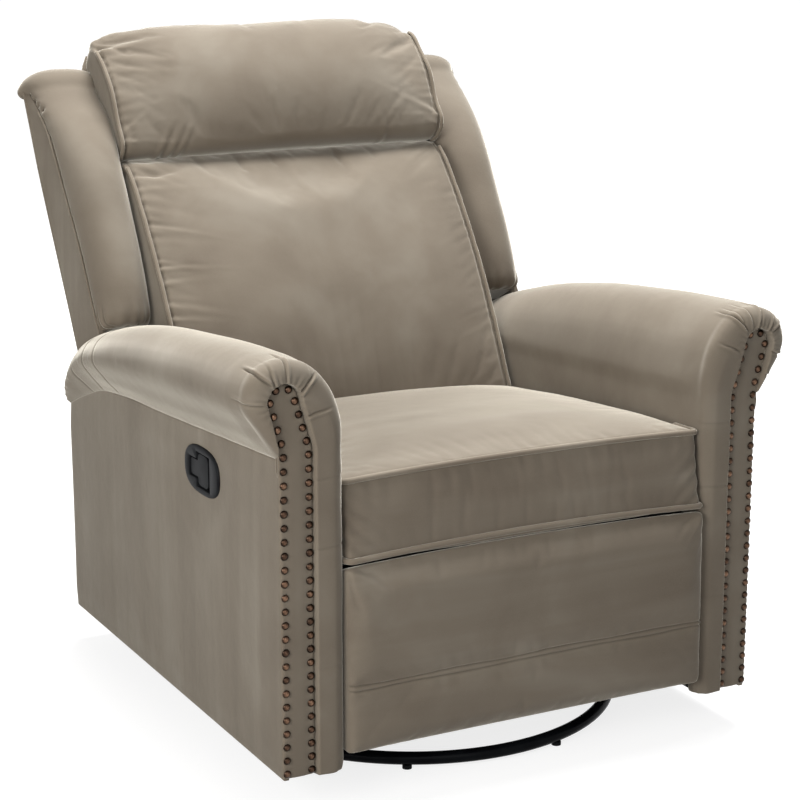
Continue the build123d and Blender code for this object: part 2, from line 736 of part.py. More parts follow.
def pillow_loop(x, draw, bulge):
    """Outline of the head pillow at x: swelling in front and folded over the top of the posts."""
    back = POST_FRONT - SOFT_GAP
    low, seat = PILLOW_BOTTOM + draw, POST_TOP + SOFT_GAP
    front = PILLOW_FRONT + draw
    brow = (x, front + 6.0, PILLOW_CREST - PILLOW_BROW - draw)
    rear = PANEL_FRONT - 1.0 - 0.5 * draw
    nape = (x, rear, seat + PILLOW_NAPE - 0.4 * draw)
    crest = quarter(brow, nape, (x, 0.4 * front, 2 * PILLOW_CREST - brow[2] - draw), 0.75)
    crest = (x, crest[1], PILLOW_CREST - 1.6 * draw)
    return loop([
        line((x, back, low), (x, front, low)),
        arc((x, front, low), (x, front - bulge, (low + brow[2]) / 2 + PILLOW_RISE), brow),
        arc(brow, crest, nape),
        line(nape, (x, rear, seat)),
        line((x, rear, seat), (x, back, seat)),
        line((x, back, seat), (x, back, low)),
    ])


def head_pillow():
    rows = spread(PILLOW_WIDTH / 2, PILLOW_DRAW, PILLOW_EDGE_BULGE, PILLOW_BULGE)
    return leant(Solid.make_loft([pillow_loop(*row) for row in rows], ruled=True))


def wing_levels():
    return [WING_BOTTOM + row[0] * (WING_TOP - WING_BOTTOM) for row in WING_STATIONS]


def wing_at(z):
    """Draw, flare, front and seam of a wing at height z."""
    levels = wing_levels()
    for z0, z1, low, high in zip(levels, levels[1:], WING_STATIONS, WING_STATIONS[1:]):
        if z <= z1:
            share = (z - z0) / (z1 - z0)
            return [a + (b - a) * share for a, b in zip(low[1:], high[1:])]
    return list(WING_STATIONS[-1][1:])


def wing_loop(z, back):
    """Plan outline of the wing pad at height z, wrapped round the front edge of the wing board."""
    draw, flare, front, seam = wing_at(z)
    deep = seam - front
    inside = WING_BOARD_INNER + (SOFT_GAP if seam > back else -SOFT_GAP)
    inner = WING_INNER + draw
    outer = WING_BOARD_OUTER + WING_OUT + flare - draw
    cheek = (inner, front + 0.5 * deep, z)
    nose = (inner + WING_NOSE - 0.3 * draw, front, z)
    lip = (outer, front + 0.78 * deep, z)
    hem = (outer - WING_LIP, seam, z)
    return loop([
        line((inner, back, z), cheek),
        arc(cheek, quarter(cheek, nose, (cheek[0], nose[1], z)), nose),
        arc(nose, quarter(nose, lip, (lip[0], nose[1], z)), lip),
        line(lip, hem),
        line(hem, (inside, seam, z)),
        line((inside, seam, z), (inside, back, z)),
        line((inside, back, z), (inner, back, z)),
    ])


def wing_pad():
    """The bolster of a wing, which folds over the top rail of the back."""
    low = [z for z in wing_levels() if z < WING_FOLD] + [WING_FOLD]
    high = [WING_FOLD + SOFT_GAP] + [z for z in wing_levels() if z > WING_FOLD + SOFT_GAP]
    loops = [wing_loop(z, RAIL_FRONT - SOFT_GAP) for z in low]
    loops += [wing_loop(z, PANEL_FRONT - SOFT_GAP) for z in high]
    return leant(Solid.make_loft(loops, ruled=True))


def wing_board():
    top = WING_TOP - WING_CAP
    levels = [z for z in wing_levels() if z < top] + [top]
    outline = [(wing_at(z)[3] + SOFT_GAP, z) for z in levels]
    outline += [(PANEL_FRONT, top), (PANEL_FRONT, WING_BOTTOM)]
    return leant(side_cut(outline, WING_BOARD_INNER, WING_BOARD_OUTER))


def back_bracket():
    """Steel strap on the outside of a back post, with the hinge eye at its foot."""
    middle = (POST_FRONT + PANEL_FRONT) / 2
    top = BACK_BRACKET_LENGTH
    eye = Pos(HINGE_BACK, 0) * Circle(HORN_RADIUS)
    strap_low = HORN_RADIUS * 0.5
    strap = Pos(middle, (strap_low + top) / 2) * Rectangle(PANEL_FRONT - POST_FRONT - 6.0, top - strap_low)
    sketch = eye + strap - holes([(HINGE_BACK, 0.0)], PIN_RADIUS + PIN_FIT)
    return leant(side_face(sketch, LINK_ONE - LINK_THICK, LINK_ONE))


# Base

def base_ring():
    return Pos(0, SWIVEL_Y, RING_Z) * Torus(RING_RADIUS, RING_TUBE)


def floor_glides():
    top = RING_Z - RING_TUBE - TOUCH
    glides = []
    for i in range(GLIDE_COUNT):
        turn = radians(360 / GLIDE_COUNT * i + GLIDE_TURN)
        x, y = RING_RADIUS * sin(turn), SWIVEL_Y - RING_RADIUS * cos(turn)
        glides.append(Pos(x, y, top / 2) * Cylinder(GLIDE_RADIUS, top))
    return glides


def base_spider():
    """Hub disc with flat arms that run down and out onto the top of the ring."""
    foot = RING_Z + RING_TUBE + TOUCH
    inner = RING_RADIUS - SPIDER_FOOT / 2
    outer = RING_RADIUS + SPIDER_FOOT / 2
    outline = [
        (outer, foot), (inner, foot), (SPIDER_KNEE, SPIDER_Z), (SPIDER_HUB / 2, SPIDER_Z),
        (SPIDER_HUB / 2, HUB_TOP), (SPIDER_KNEE, HUB_TOP),
        (inner, foot + SPIDER_THICK), (outer, foot + SPIDER_THICK),
    ]
    face = Plane.XZ * make_face(Polyline(*outline, close=True))
    arm = extrude(face, SPIDER_WIDTH / 2, both=True)
    spider = Pos(0, 0, SPIDER_Z + SPIDER_THICK / 2) * Cylinder(SPIDER_HUB, SPIDER_THICK)
    for i in range(SPIDER_ARMS):
        spider += Rot(0, 0, 45 + 360 / SPIDER_ARMS * i) * arm
    spider -= Pos(0, 0, SPIDER_Z) * Cylinder(BOLT_RADIUS + PIN_FIT, 4 * SPIDER_THICK)
    return Pos(0, SWIVEL_Y, 0) * spider


def race():
    return Pos(0, 0, BALL_Z) * Torus(RACE_RADIUS, BALL_RADIUS + BALL_FIT)


def bolt_hole():
    return Pos(0, 0, BALL_Z) * Cylinder(BOLT_RADIUS + PIN_FIT, 8 * RACE_THICK)


def swivel_lower_plate():
    disc = Pos(0, 0, HUB_TOP + RACE_THICK / 2) * Cylinder(RACE_PLATE, RACE_THICK)
    return Pos(0, SWIVEL_Y, 0) * (disc - race() - bolt_hole())


def swivel_upper_plate():
    plate = Pos(0, 0, UPPER_Z + RACE_THICK / 2) * Box(TOP_PLATE, TOP_PLATE, RACE_THICK)
    return Pos(0, SWIVEL_Y, 0) * (plate - race() - bolt_hole())


def ball_spots():
    for i in range(BALL_COUNT):
        turn = 2 * pi * i / BALL_COUNT
        yield Pos(RACE_RADIUS * cos(turn), RACE_RADIUS * sin(turn), BALL_Z)


def swivel_balls():
    return [Pos(0, SWIVEL_Y, 0) * spot * Sphere(BALL_RADIUS) for spot in ball_spots()]


def swivel_cage():
    outer, inner = RACE_RADIUS + CAGE_WIDTH / 2, RACE_RADIUS - CAGE_WIDTH / 2
    cage = Pos(0, 0, BALL_Z) * (Cylinder(outer, CAGE_THICK) - Cylinder(inner, CAGE_THICK))
    for spot in ball_spots():
        cage -= spot * Cylinder(BALL_RADIUS + BALL_FIT, 2 * CAGE_THICK)
    return Pos(0, SWIVEL_Y, 0) * cage


def swivel_bolt():
    """Bolt up through the hub, with its nut kept just clear of the turning plate."""
    head_top = SPIDER_Z - TOUCH
    nut_low = BASE_RAIL_Z + HEAD_GAP
    tip = nut_low + BOLT_HEAD_THICK
    head = extrude(Pos(0, 0, head_top - BOLT_HEAD_THICK) * RegularPolygon(BOLT_HEAD, 6), BOLT_HEAD_THICK)
    shank = Pos(0, 0, (head_top + tip) / 2) * Cylinder(BOLT_RADIUS, tip - head_top)
    hexagon = RegularPolygon(BOLT_HEAD, 6) - Circle(BOLT_RADIUS + PIN_FIT)
    nut = extrude(Pos(0, 0, nut_low) * hexagon, BOLT_HEAD_THICK)
    return [Pos(0, SWIVEL_Y, 0) * (head + shank), Pos(0, SWIVEL_Y, 0) * nut]


def base_rails():
    rails = []
    for side in (-1, 1):
        y = SWIVEL_Y + side * RAIL_SPREAD
        y0, y1 = y - BASE_RAIL_WIDTH / 2, y + BASE_RAIL_WIDTH / 2
        rails.append(block(-FRAME_X, FRAME_X, y0, y1, BASE_RAIL_Z, BASE_RAIL_Z + BASE_RAIL_HEIGHT))
    return rails


# Release handle in the outside of the right arm

def on_handle(sketch, x0, depth):
    """A handle outline (y, z about its middle) carried inwards from x0 by depth."""
    return extrude(Plane.YZ.offset(x0) * (Pos(HANDLE_Y, HANDLE_Z) * sketch), depth)


def handle_hole():
    outline = RectangleRounded(CUP_LENGTH + 2 * CUP_FIT, CUP_HEIGHT + 2 * CUP_FIT, CUP_CORNER + CUP_FIT)
    return on_handle(outline, -SIDE_X - SIDE_PANEL, 3 * SIDE_PANEL)


def lever_axis():
    return Pos(-SIDE_X + LEVER_AXIS_DEPTH, HANDLE_Y + LEVER_AXIS_BACK, HANDLE_Z)


def release_bezel():
    """Oblong escutcheon with a cup behind it that the lever swings in."""
    face = RectangleRounded(BEZEL_LENGTH, BEZEL_HEIGHT, BEZEL_CORNER)
    well = RectangleRounded(CUP_LENGTH, CUP_HEIGHT, CUP_CORNER)
    flange = on_handle(face, -SIDE_X - BEZEL_THICK, BEZEL_THICK)
    cup = on_handle(well, -SIDE_X - BEZEL_THICK / 2, CUP_DEPTH + BEZEL_THICK / 2)
    hollow = RectangleRounded(CUP_LENGTH - 2 * CUP_WALL, CUP_HEIGHT - 2 * CUP_WALL, CUP_CORNER - CUP_WALL)
    well = on_handle(hollow, -SIDE_X - 2 * BEZEL_THICK, CUP_DEPTH + 2 * BEZEL_THICK - CUP_WALL)
    return flange + cup - well - lever_axis() * Cylinder(LEVER_STUB + PIN_FIT, CUP_HEIGHT)


def release_lever():
    """Paddle with a narrow tail, on a barrel whose stubs turn in the walls of the cup."""
    face_x = -SIDE_X - LEVER_PROUD
    paddle = RectangleRounded(LEVER_FRONT + LEVER_SHOULDER, LEVER_HEIGHT, LEVER_CORNER)
    body = Pos((LEVER_SHOULDER - LEVER_FRONT) / 2, 0) * paddle
    tail_from = LEVER_SHOULDER - 10.0
    tail = Pos((tail_from + LEVER_TAIL) / 2, 0) * RectangleRounded(LEVER_TAIL - tail_from, LEVER_TAB, 6.0)
    paddle = on_handle(body + tail, face_x, LEVER_THICK)
    room = CUP_HEIGHT / 2 - CUP_WALL
    barrel = lever_axis() * Cylinder(LEVER_BARREL, 2 * (room - CUP_FIT * 2))
    stub = lever_axis() * Cylinder(LEVER_STUB, CUP_HEIGHT - CUP_FIT * 2)
    y = HANDLE_Y + LEVER_AXIS_BACK
    web = block(face_x + LEVER_THICK / 2, -SIDE_X + LEVER_AXIS_DEPTH, y - LEVER_STUB, y + LEVER_STUB,
                HANDLE_Z - LEVER_TAB / 2, HANDLE_Z + LEVER_TAB / 2)
    return paddle + barrel + stub + web


def both_sides(name, shape):
    save(name + "_left", shape)
    save(name + "_right", other_side(shape))


def main():
    os.makedirs("parts", exist_ok=True)
    save("base_ring", base_ring())
    save("base_spider", base_spider())
    save("floor_glides", *floor_glides())
    save("swivel_lower_plate", swivel_lower_plate())
    save("swivel_upper_plate", swivel_upper_plate())
    save("swivel_balls", *swivel_balls())
    save("swivel_cage", swivel_cage())
    save("swivel_bolt", *swivel_bolt())
    save("base_rails", *base_rails())

    frame = arm_frame()
    save("arm_frame_left", *frame)
    save("arm_frame_right", *[other_side(solid) for solid in frame])
    side = outer_side()
    save("outer_side_left", side)
    save("outer_side_right", other_side(side) - handle_hole())
    both_sides("inner_side", inner_side())
    both_sides("arm_roll", arm_roll())
    both_sides("arm_front", arm_front())
    both_sides("arm_facing", arm_facing())
    nails = facing_nails()
    save("facing_nails", *nails, *[other_side(nail) for nail in nails])
    save("rear_apron", rear_apron())

    save("seat_front_rail", seat_front_rail())
    save("seat_rear_rail", seat_rear_rail())
    save("seat_side_rails", seat_side_rail(), other_side(seat_side_rail()))
    save("seat_springs", *seat_springs())
    save("seat_cushion", seat_cushion())

    both_sides("mech_plate", mech_plate())
    pins = [frame_pin(PIVOT_A), frame_pin(PIVOT_B), hinge_pin()]
    save("frame_pivot_pins", *pins, *[other_side(pin) for pin in pins])
    both_sides("front_link", front_link())
    pins = [link_pin(PIVOT_D), link_pin(PIVOT_F)]
    save("front_link_pins", *pins, *[other_side(pin) for pin in pins])
    both_sides("rear_link", link([PIVOT_A, PIVOT_C], LINK_ONE))
    save("rear_link_pins", link_pin(PIVOT_C), other_side(link_pin(PIVOT_C)))
    save("drive_tube", drive_tube())
    both_sides("lower_link", link([PIVOT_C, PIVOT_D, PIVOT_E], LINK_TWO))
    save("lower_link_pins", link_pin(PIVOT_E), other_side(link_pin(PIVOT_E)))
    both_sides("upper_link", link([PIVOT_F, PIVOT_G], LINK_TWO))
    save("upper_link_pins", link_pin(PIVOT_G), other_side(link_pin(PIVOT_G)))
    both_sides("footrest_bracket", footrest_bracket())
    save("footrest_board", footrest_board())
    save("footrest_pad", footrest_pad())

    save("back_frame", *back_frame())
    save("back_panel", back_panel())
    save("lumbar_cushion", lumbar_cushion())
    save("head_pillow", head_pillow())
    both_sides("wing_pad", wing_pad())
    both_sides("wing_board", wing_board())
    both_sides("back_bracket", back_bracket())

    save("release_bezel", release_bezel())
    save("release_lever", release_lever())


main()
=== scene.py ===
import logging
import math
from dataclasses import dataclass, field
from enum import Enum
from typing import Callable, Iterable, Optional, Protocol, Sequence, Union

import bmesh
import bpy
import numpy as np
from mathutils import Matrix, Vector


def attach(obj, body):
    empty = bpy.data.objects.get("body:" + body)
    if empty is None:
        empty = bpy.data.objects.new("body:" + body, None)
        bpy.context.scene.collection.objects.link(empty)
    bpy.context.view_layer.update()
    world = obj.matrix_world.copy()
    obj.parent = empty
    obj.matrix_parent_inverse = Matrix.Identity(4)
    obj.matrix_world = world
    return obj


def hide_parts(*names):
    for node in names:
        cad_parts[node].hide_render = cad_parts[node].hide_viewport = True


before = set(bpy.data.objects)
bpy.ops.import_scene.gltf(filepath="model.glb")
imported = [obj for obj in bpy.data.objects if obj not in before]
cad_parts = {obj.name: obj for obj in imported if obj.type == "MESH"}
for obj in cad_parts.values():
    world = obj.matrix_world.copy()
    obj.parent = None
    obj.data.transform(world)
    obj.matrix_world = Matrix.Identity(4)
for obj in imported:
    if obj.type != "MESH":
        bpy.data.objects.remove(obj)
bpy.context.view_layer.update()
LOG = logging.getLogger("recliner")
MM = 0.001

Points = np.ndarray
Solid = tuple[Points, list[tuple[int, ...]]]
Rule = Callable[[Points], Points]
Sheet = Callable[[Points, Points], Points]
Row = tuple[float, ...]
Colour = tuple[float, float, float]
Piece = bpy.types.Object
Material = bpy.types.Material
Socket = bpy.types.NodeSocket

# How the cushions' cover behaves while it is stuffed, and for how many steps
CLOTH = {
    "quality": 5, "mass": 0.25, "tension_stiffness": 12, "compression_stiffness": 12, "shear_stiffness": 4,
    "bending_stiffness": 0.3, "vertex_group_mass": "held", "use_pressure": True,
    "uniform_pressure_force": 4.0,
}
CLOTH_STEPS = 20
FREE = math.inf
# The small dome that ends a cord, and a nail head from its rim up: shares of the radius and height
CORD_DOME = ((0.5, 0.85), (0.9, 0.35))
NAIL_PROFILE = (
    (1.00, -0.05), (1.02, 0.10), (0.97, 0.22), (0.90, 0.36), (0.76, 0.60),
    (0.56, 0.81), (0.32, 0.95), (0.12, 1.0),
)
NAIL_SIDES = 20
WAVES = 6


class Side(Enum):
    """The sitter's left hand is towards +X."""

    LEFT = 1
    RIGHT = -1

    @property
    def word(self) -> str:
        """The side's name as the nodes spell it."""
        return self.name.lower()


class Nap(Enum):
    """How the velvet's pile is brushed, as the stretch of its streaks along X, Y and Z."""

    UPRIGHT = (26.0, 26.0, 1.6)
    CROSSWISE = (2.0, 16.0, 18.0)
    LOOSE = (7.0, 7.0, 7.0)


# Lines, solids and meshes


def evenly(line: Points, count: int) -> Points:
    """Spaces points evenly along a line.

    Args:
        line: Points of the line, one a row.
        count: How many points to return.

    Returns:
        The evenly spaced points.
    """
    steps = np.linalg.norm(np.diff(line, axis=0), axis=1)
    along = np.concatenate([[0.0], np.cumsum(steps)])
    wanted = np.linspace(0.0, along[-1], count)
    return np.stack([np.interp(wanted, along, line[:, k]) for k in range(line.shape[1])], axis=1)


def rows_of(*columns: object) -> Points:
    """Points from their columns, where a single number fills its column."""
    return np.stack(np.broadcast_arrays(*columns), axis=1)


def ring_through(corners: Sequence[Sequence[float]], count: int) -> Points:
    """Closes a line of corners and spaces points evenly round it."""
    corners = np.asarray(corners)
    return evenly(np.vstack([corners, corners[:1]]), count + 1)[:-1]


def circle(count: int) -> Points:
    """Angles of equal steps round a circle."""
    return np.linspace(0.0, 2 * math.pi, count, endpoint=False)


def smooth_line(points: Sequence[Sequence[float]], count: int) -> Points:
    """Draws a smooth line through points, with tangents that suit uneven steps.

    Args:
        points: The points that the line passes through.
        count: How many points to return.

    Returns:
        Evenly spaced points on the line.
    """
    knots = np.asarray(points, float)
    ext = np.vstack([2 * knots[0] - knots[1], knots, 2 * knots[-1] - knots[-2]])
    t = np.linspace(0.0, 1.0, 24, endpoint=False)[:, None]
    runs = []
    for p0, p1, p2, p3 in zip(ext, ext[1:], ext[2:], ext[3:]):
        d0, d1, d2 = (max(float(np.linalg.norm(b - a)), 1e-9) for a, b in ((p0, p1), (p1, p2), (p2, p3)))
        m1 = d1 * ((p1 - p0) / d0 - (p2 - p0) / (d0 + d1) + (p2 - p1) / d1)
        m2 = d1 * ((p2 - p1) / d1 - (p3 - p1) / (d1 + d2) + (p3 - p2) / d2)
        runs.append((2 * t**3 - 3 * t**2 + 1) * p1 + (t**3 - 2 * t**2 + t) * m1
                    + (3 * t**2 - 2 * t**3) * p2 + (t**3 - t**2) * m2)
    return evenly(np.vstack(runs + [knots[-1:]]), count)


def loft(loops: Sequence[Points]) -> Solid:
    """Joins closed loops of equally many points into a capped solid.

    Args:
        loops: The loops in order, each an array of points.

    Returns:
        The points and faces of the solid.
    """
    size = len(loops[0])
    points = np.vstack([*loops, loops[0].mean(0), loops[-1].mean(0)])
    first, last = len(points) - 2, len(points) - 1
    faces: list[tuple[int, ...]] = []
    for row in range(len(loops) - 1):
        for k in range(size):
            a, b = row * size + k, row * size + (k + 1) % size
            faces.append((a, b, b + size, a + size))
    end = (len(loops) - 1) * size
    for k in range(size):
        faces.append((first, (k + 1) % size, k))
        faces.append((last, end + k, end + (k + 1) % size))
    return points, faces


def mirrored(solid: Solid, side: Side) -> Solid:
    """Turns a solid of the left side into that of a side, with its faces still outward.

    Args:
        solid: The solid of the left side.
        side: The side that it is for.

    Returns:
        The solid of that side.
    """
    points, faces = solid
    if side is Side.LEFT:
        return solid
    return points * np.array([-1.0, 1.0, 1.0]), [tuple(reversed(face)) for face in faces]


def in_scene(name: str, data: bpy.types.ID) -> Piece:
    """Adds an object to the scene.

    Args:
        name: The object's name.
        data: Its mesh, camera or lamp.

    Returns:
        The object.
    """
    thing = bpy.data.objects.new(name, data)
    bpy.context.scene.collection.objects.link(thing)
    return thing


def make_piece(name: str, solids: Iterable[Solid], side: Side = Side.LEFT) -> Piece:
    """Makes one mesh object from solids in millimetres.

    Args:
        name: The piece's name.
        solids: One or more solids, drawn for the left side.
        side: The side that it is for.

    Returns:
        The new object, smooth shaded.
    """
    rows, faces, base = [], [], 0
    for points, polygons in (mirrored(solid, side) for solid in solids):
        rows.append(points)
        faces.extend(tuple(i + base for i in polygon) for polygon in polygons)
        base += len(points)
    mesh = bpy.data.meshes.new(name)
    mesh.from_pydata((np.vstack(rows) * MM).tolist(), [], faces)
    bm = bmesh.new()
    bm.from_mesh(mesh)
    bmesh.ops.recalc_face_normals(bm, faces=bm.faces)
    bm.to_mesh(mesh)
    bm.free()
    mesh.shade_smooth()
    return in_scene(name, mesh)


def points_of(piece: Piece) -> Points:
    """The piece's points in millimetres."""
    co = np.zeros(len(piece.data.vertices) * 3)
    piece.data.vertices.foreach_get("co", co)
    return co.reshape(-1, 3) / MM


def normals_of(piece: Piece) -> Points:
    """The piece's outward directions, one for each point."""
    piece.data.update()
    out = np.zeros(len(piece.data.vertices) * 3)
    piece.data.vertex_normals.foreach_get("vector", out)
    return out.reshape(-1, 3)


def set_points(piece: Piece, points: Points) -> None:
    """Moves the piece's points to places in millimetres."""
    piece.data.vertices.foreach_set("co", (points * MM).ravel())
    piece.data.update()


def apply_modifier(piece: Piece, kind: str, **settings: object) -> None:
    """Adds one modifier, keeps its result as the mesh and removes it.

    Args:
        piece: The object to change.
        kind: Blender's name of the modifier.
        settings: Values of the modifier.
    """
    modifier = piece.modifiers.new(kind.lower(), kind)
    for key, value in settings.items():
        setattr(modifier, key, value)
    bpy.context.view_layer.update()
    result = bpy.data.meshes.new_from_object(piece.evaluated_get(bpy.context.evaluated_depsgraph_get()))
    old = piece.data
    piece.modifiers.clear()
    piece.data = result
    bpy.data.meshes.remove(old)
    piece.data.shade_smooth()


def fuse(piece: Piece, voxel: float, smooth: int) -> None:
    """Fuses the solids of a piece into one even skin and softens its edges.

    Args:
        piece: The object to change.
        voxel: The spacing of the skin's mesh, in millimetres.
        smooth: How often its edges are softened.
    """
    apply_modifier(piece, "REMESH", mode="VOXEL", voxel_size=voxel * MM, use_smooth_shade=True)
    apply_modifier(piece, "SMOOTH", factor=0.5, iterations=smooth)


def refine(piece: Piece, inside: Rule) -> None:
    """Halves the edges whose two ends lie where the rule is true.

    Args:
        piece: The object to change.
        inside: Tells which points lie where the mesh is to be finer.
    """
    keep = inside(points_of(piece))
    bm = bmesh.new()
    bm.from_mesh(piece.data)
    edges = [e for e in bm.edges if keep[e.verts[0].index] and keep[e.verts[1].index]]
    bmesh.ops.subdivide_edges(bm, edges=edges, cuts=1, use_grid_fill=True, smooth=0.4)
    bm.to_mesh(piece.data)
    bm.free()
    piece.data.shade_smooth()


def stuff(piece: Piece, held: Rule, cap: float, ease: float) -> None:
    """Stuffs a cushion: its cover swells as cloth under pressure, held where the rule says.

    Args:
        piece: The cushion, already an even skin.
        held: Gives each point a weight from 0, free, to 1, held.
        cap: The furthest that a point may move, in millimetres.
        ease: How much the cover is cut fuller than the form, as a share.
    """
    rest = points_of(piece)
    group = piece.vertex_groups.new(name="held")
    weights = np.round(np.clip(held(rest), 0.0, 1.0), 1)
    for level in np.unique(weights):
        group.add(np.flatnonzero(weights == level).tolist(), float(level), "REPLACE")
    cloth = piece.modifiers.new("stuffing", "CLOTH")
    for key, value in CLOTH.items():
        setattr(cloth.settings, key, value)
    cloth.settings.shrink_min = -ease
    cloth.settings.effector_weights.gravity = 0.0
    cloth.point_cache.frame_start, cloth.point_cache.frame_end = 1, CLOTH_STEPS
    for step in range(1, CLOTH_STEPS + 1):
        bpy.context.scene.frame_set(step)
    result = piece.evaluated_get(bpy.context.evaluated_depsgraph_get()).to_mesh()
    co = np.zeros(len(result.vertices) * 3)
    result.vertices.foreach_get("co", co)
    moved = co.reshape(-1, 3) / MM - rest
    reach = np.linalg.norm(moved, axis=1, keepdims=True)
    moved *= np.minimum(1.0, cap / np.maximum(reach, 1e-6))
    piece.modifiers.clear()
    piece.vertex_groups.clear()
    bpy.context.scene.frame_set(1)
    set_points(piece, rest + np.nan_to_num(moved))


def cushion(name: str, solid: Solid, held: Rule, cap: float, ease: float,
            low: Sequence[float], high: Sequence[float]) -> Piece:
    """Makes a cushion: an even skin that is stuffed, kept within its bounds and smoothed.

    Args:
        name: The piece's name.
        solid: Its form before stuffing.
        held: Where the cover is sewn down, as stuff takes it.
        cap: The furthest that a point may move.
        ease: How much the cover is cut fuller than the form, as a share.
        low: The lowest x, y and z that it may have.
        high: The highest ones.

    Returns:
        The new object.
    """
    piece = make_piece(name, [solid])
    fuse(piece, 6.0, 2)
    stuff(piece, held, cap, ease)
    set_points(piece, np.clip(points_of(piece), low, high))
    apply_modifier(piece, "SUBSURF", levels=1)
    return piece


def push(piece: Piece, amount: Rule) -> None:
    """Moves each point along its outward direction by what the rule gives, in millimetres."""
    points = points_of(piece)
    set_points(piece, points + normals_of(piece) * amount(points)[:, None])


def rimmed(length: float, edge: float, cell: float) -> Points:
    """Shares along a panel, close together at its two rounded borders.

    Args:
        length: The panel's length.
        edge: How far the borders are rounded.
        cell: The spacing between them.

    Returns:
        The shares, from 0 to 1.
    """
    inner = np.linspace(edge, length - edge, max(3, round((length - 2 * edge) / cell)))
    rim = edge * (1 - np.cos(np.linspace(0, math.pi / 2, 6)[:-1]))
    return np.concatenate([rim, inner, length - rim[::-1]]) / length


def soft_panel(place: Sheet, out: Union[Sheet, Sequence[float]], lengths: tuple[float, float],
               thick: float, edge: float, cell: float, skip: Optional[Rule] = None) -> Solid:
    """A covered board: a skin with rounded borders over a flat back.

    Args:
        place: Gives points on the skin for shares across and up.
        out: The outward direction, or what gives it for the same shares.
        lengths: About how long the panel is across and up.
        thick: The board's thickness.
        edge: How far the borders are rounded.
        cell: The spacing of the mesh.
        skip: Tells which middles of faces fall in a hole.

    Returns:
        The points and faces of the panel.
    """
    across, up = (rimmed(length, edge, cell) for length in lengths)
    u, v = np.meshgrid(across, up, indexing="ij")
    u, v = u.ravel(), v.ravel()
    nu, nv = len(across), len(up)
    gap = np.minimum(np.minimum(u, 1 - u) * lengths[0], np.minimum(v, 1 - v) * lengths[1])
    fall = edge * (1 - np.sqrt(np.clip(1 - np.clip(1 - gap / edge, 0, 1) ** 2, 0, 1)))
    base, away = place(u, v), np.asarray(out(u, v) if callable(out) else out)
    front = base - away * np.minimum(fall, 0.7 * thick)[:, None]
    back = base - away * thick
    count = nu * nv
    points = np.vstack([front, back])
    cells = [(i, j) for i in range(nu - 1) for j in range(nv - 1)]
    gone: set[tuple[int, int]] = set()
    if skip is not None:
        middles = np.array([base[[i * nv + j, (i + 1) * nv + j + 1]].mean(0) for i, j in cells])
        gone = {c for c, hit in zip(cells, skip(middles)) if hit}
    faces: list[tuple[int, ...]] = []
    edges: dict[tuple[int, int], None] = {}
    for i, j in cells:
        if (i, j) in gone:
            continue
        quad = (i * nv + j, (i + 1) * nv + j, (i + 1) * nv + j + 1, i * nv + j + 1)
        faces.append(quad)
        faces.append(tuple(k + count for k in reversed(quad)))
        edges.update(dict.fromkeys(zip(quad, quad[1:] + quad[:1])))
    faces += [(b, a, a + count, b + count) for a, b in edges if (b, a) not in edges]
    return points, faces


def pipe(line: Points, radius: float, sides: int = 12) -> Solid:
    """A round cord of cover along a line, closed by small domes.

    Args:
        line: The points that it follows.
        radius: Its radius.
        sides: How many sides it has.

    Returns:
        The points and faces of the cord.
    """
    ahead = np.gradient(line, axis=0)
    ahead /= np.maximum(np.linalg.norm(ahead, axis=1, keepdims=True), 1e-9)
    side = np.cross(ahead[0], [0.0, 0.0, 1.0] if abs(ahead[0][2]) < 0.9 else [1.0, 0.0, 0.0])
    loops: list[Points] = []
    turn = circle(sides)[:, None]
    for k, (spot, way) in enumerate(zip(line, ahead)):
        side = side - way * float(side @ way)
        side /= max(float(np.linalg.norm(side)), 1e-9)
        ring = np.cos(turn) * side + np.sin(turn) * np.cross(way, side)
        steps = [(0.0, 1.0)]
        if k == 0:
            steps = [(-rise, share) for rise, share in reversed(CORD_DOME)] + steps
        if k == len(line) - 1:
            steps = steps + list(CORD_DOME)
        loops += [spot + way * radius * rise + ring * radius * share for rise, share in steps]
    return loft(loops)


def bump_at(x: Points, centre: float, width: float) -> Points:
    """A rounded hump of height one round a centre."""
    return np.exp(-(((x - centre) / width) ** 2))


def fold(x: Points, centre: float, width: float) -> Points:
    """A sewn tuck across x: a sharp valley with a rounded ridge on its far side."""
    d = (x - centre) / width
    return np.exp(-((d - 1.1) ** 2)) - 1.5 * np.exp(-((d / 0.6) ** 2))


def waver(points: Points, size: float, seed: int) -> Points:
    """A gentle unevenness from a few long waves.

    Args:
        points: Where it is wanted.
        size: About how long the waves are, in millimetres.
        seed: Which unevenness it is.

    Returns:
        Heights from -1 to 1.
    """
    rng = np.random.default_rng(seed)
    total = np.zeros(len(points))
    for _ in range(WAVES):
        way = rng.normal(size=3)
        way /= np.linalg.norm(way)
        wave = 2 * math.pi / (size * rng.uniform(0.7, 1.6))
        total += np.sin(points @ way * wave + rng.uniform(0, 6.28))
    return total / WAVES


def ease_in(x: Points, low: float, high: float) -> Points:
    """Rises smoothly from 0 at low to 1 at high."""
    t = np.clip((x - low) / (high - low), 0.0, 1.0)
    return t * t * (3 - 2 * t)


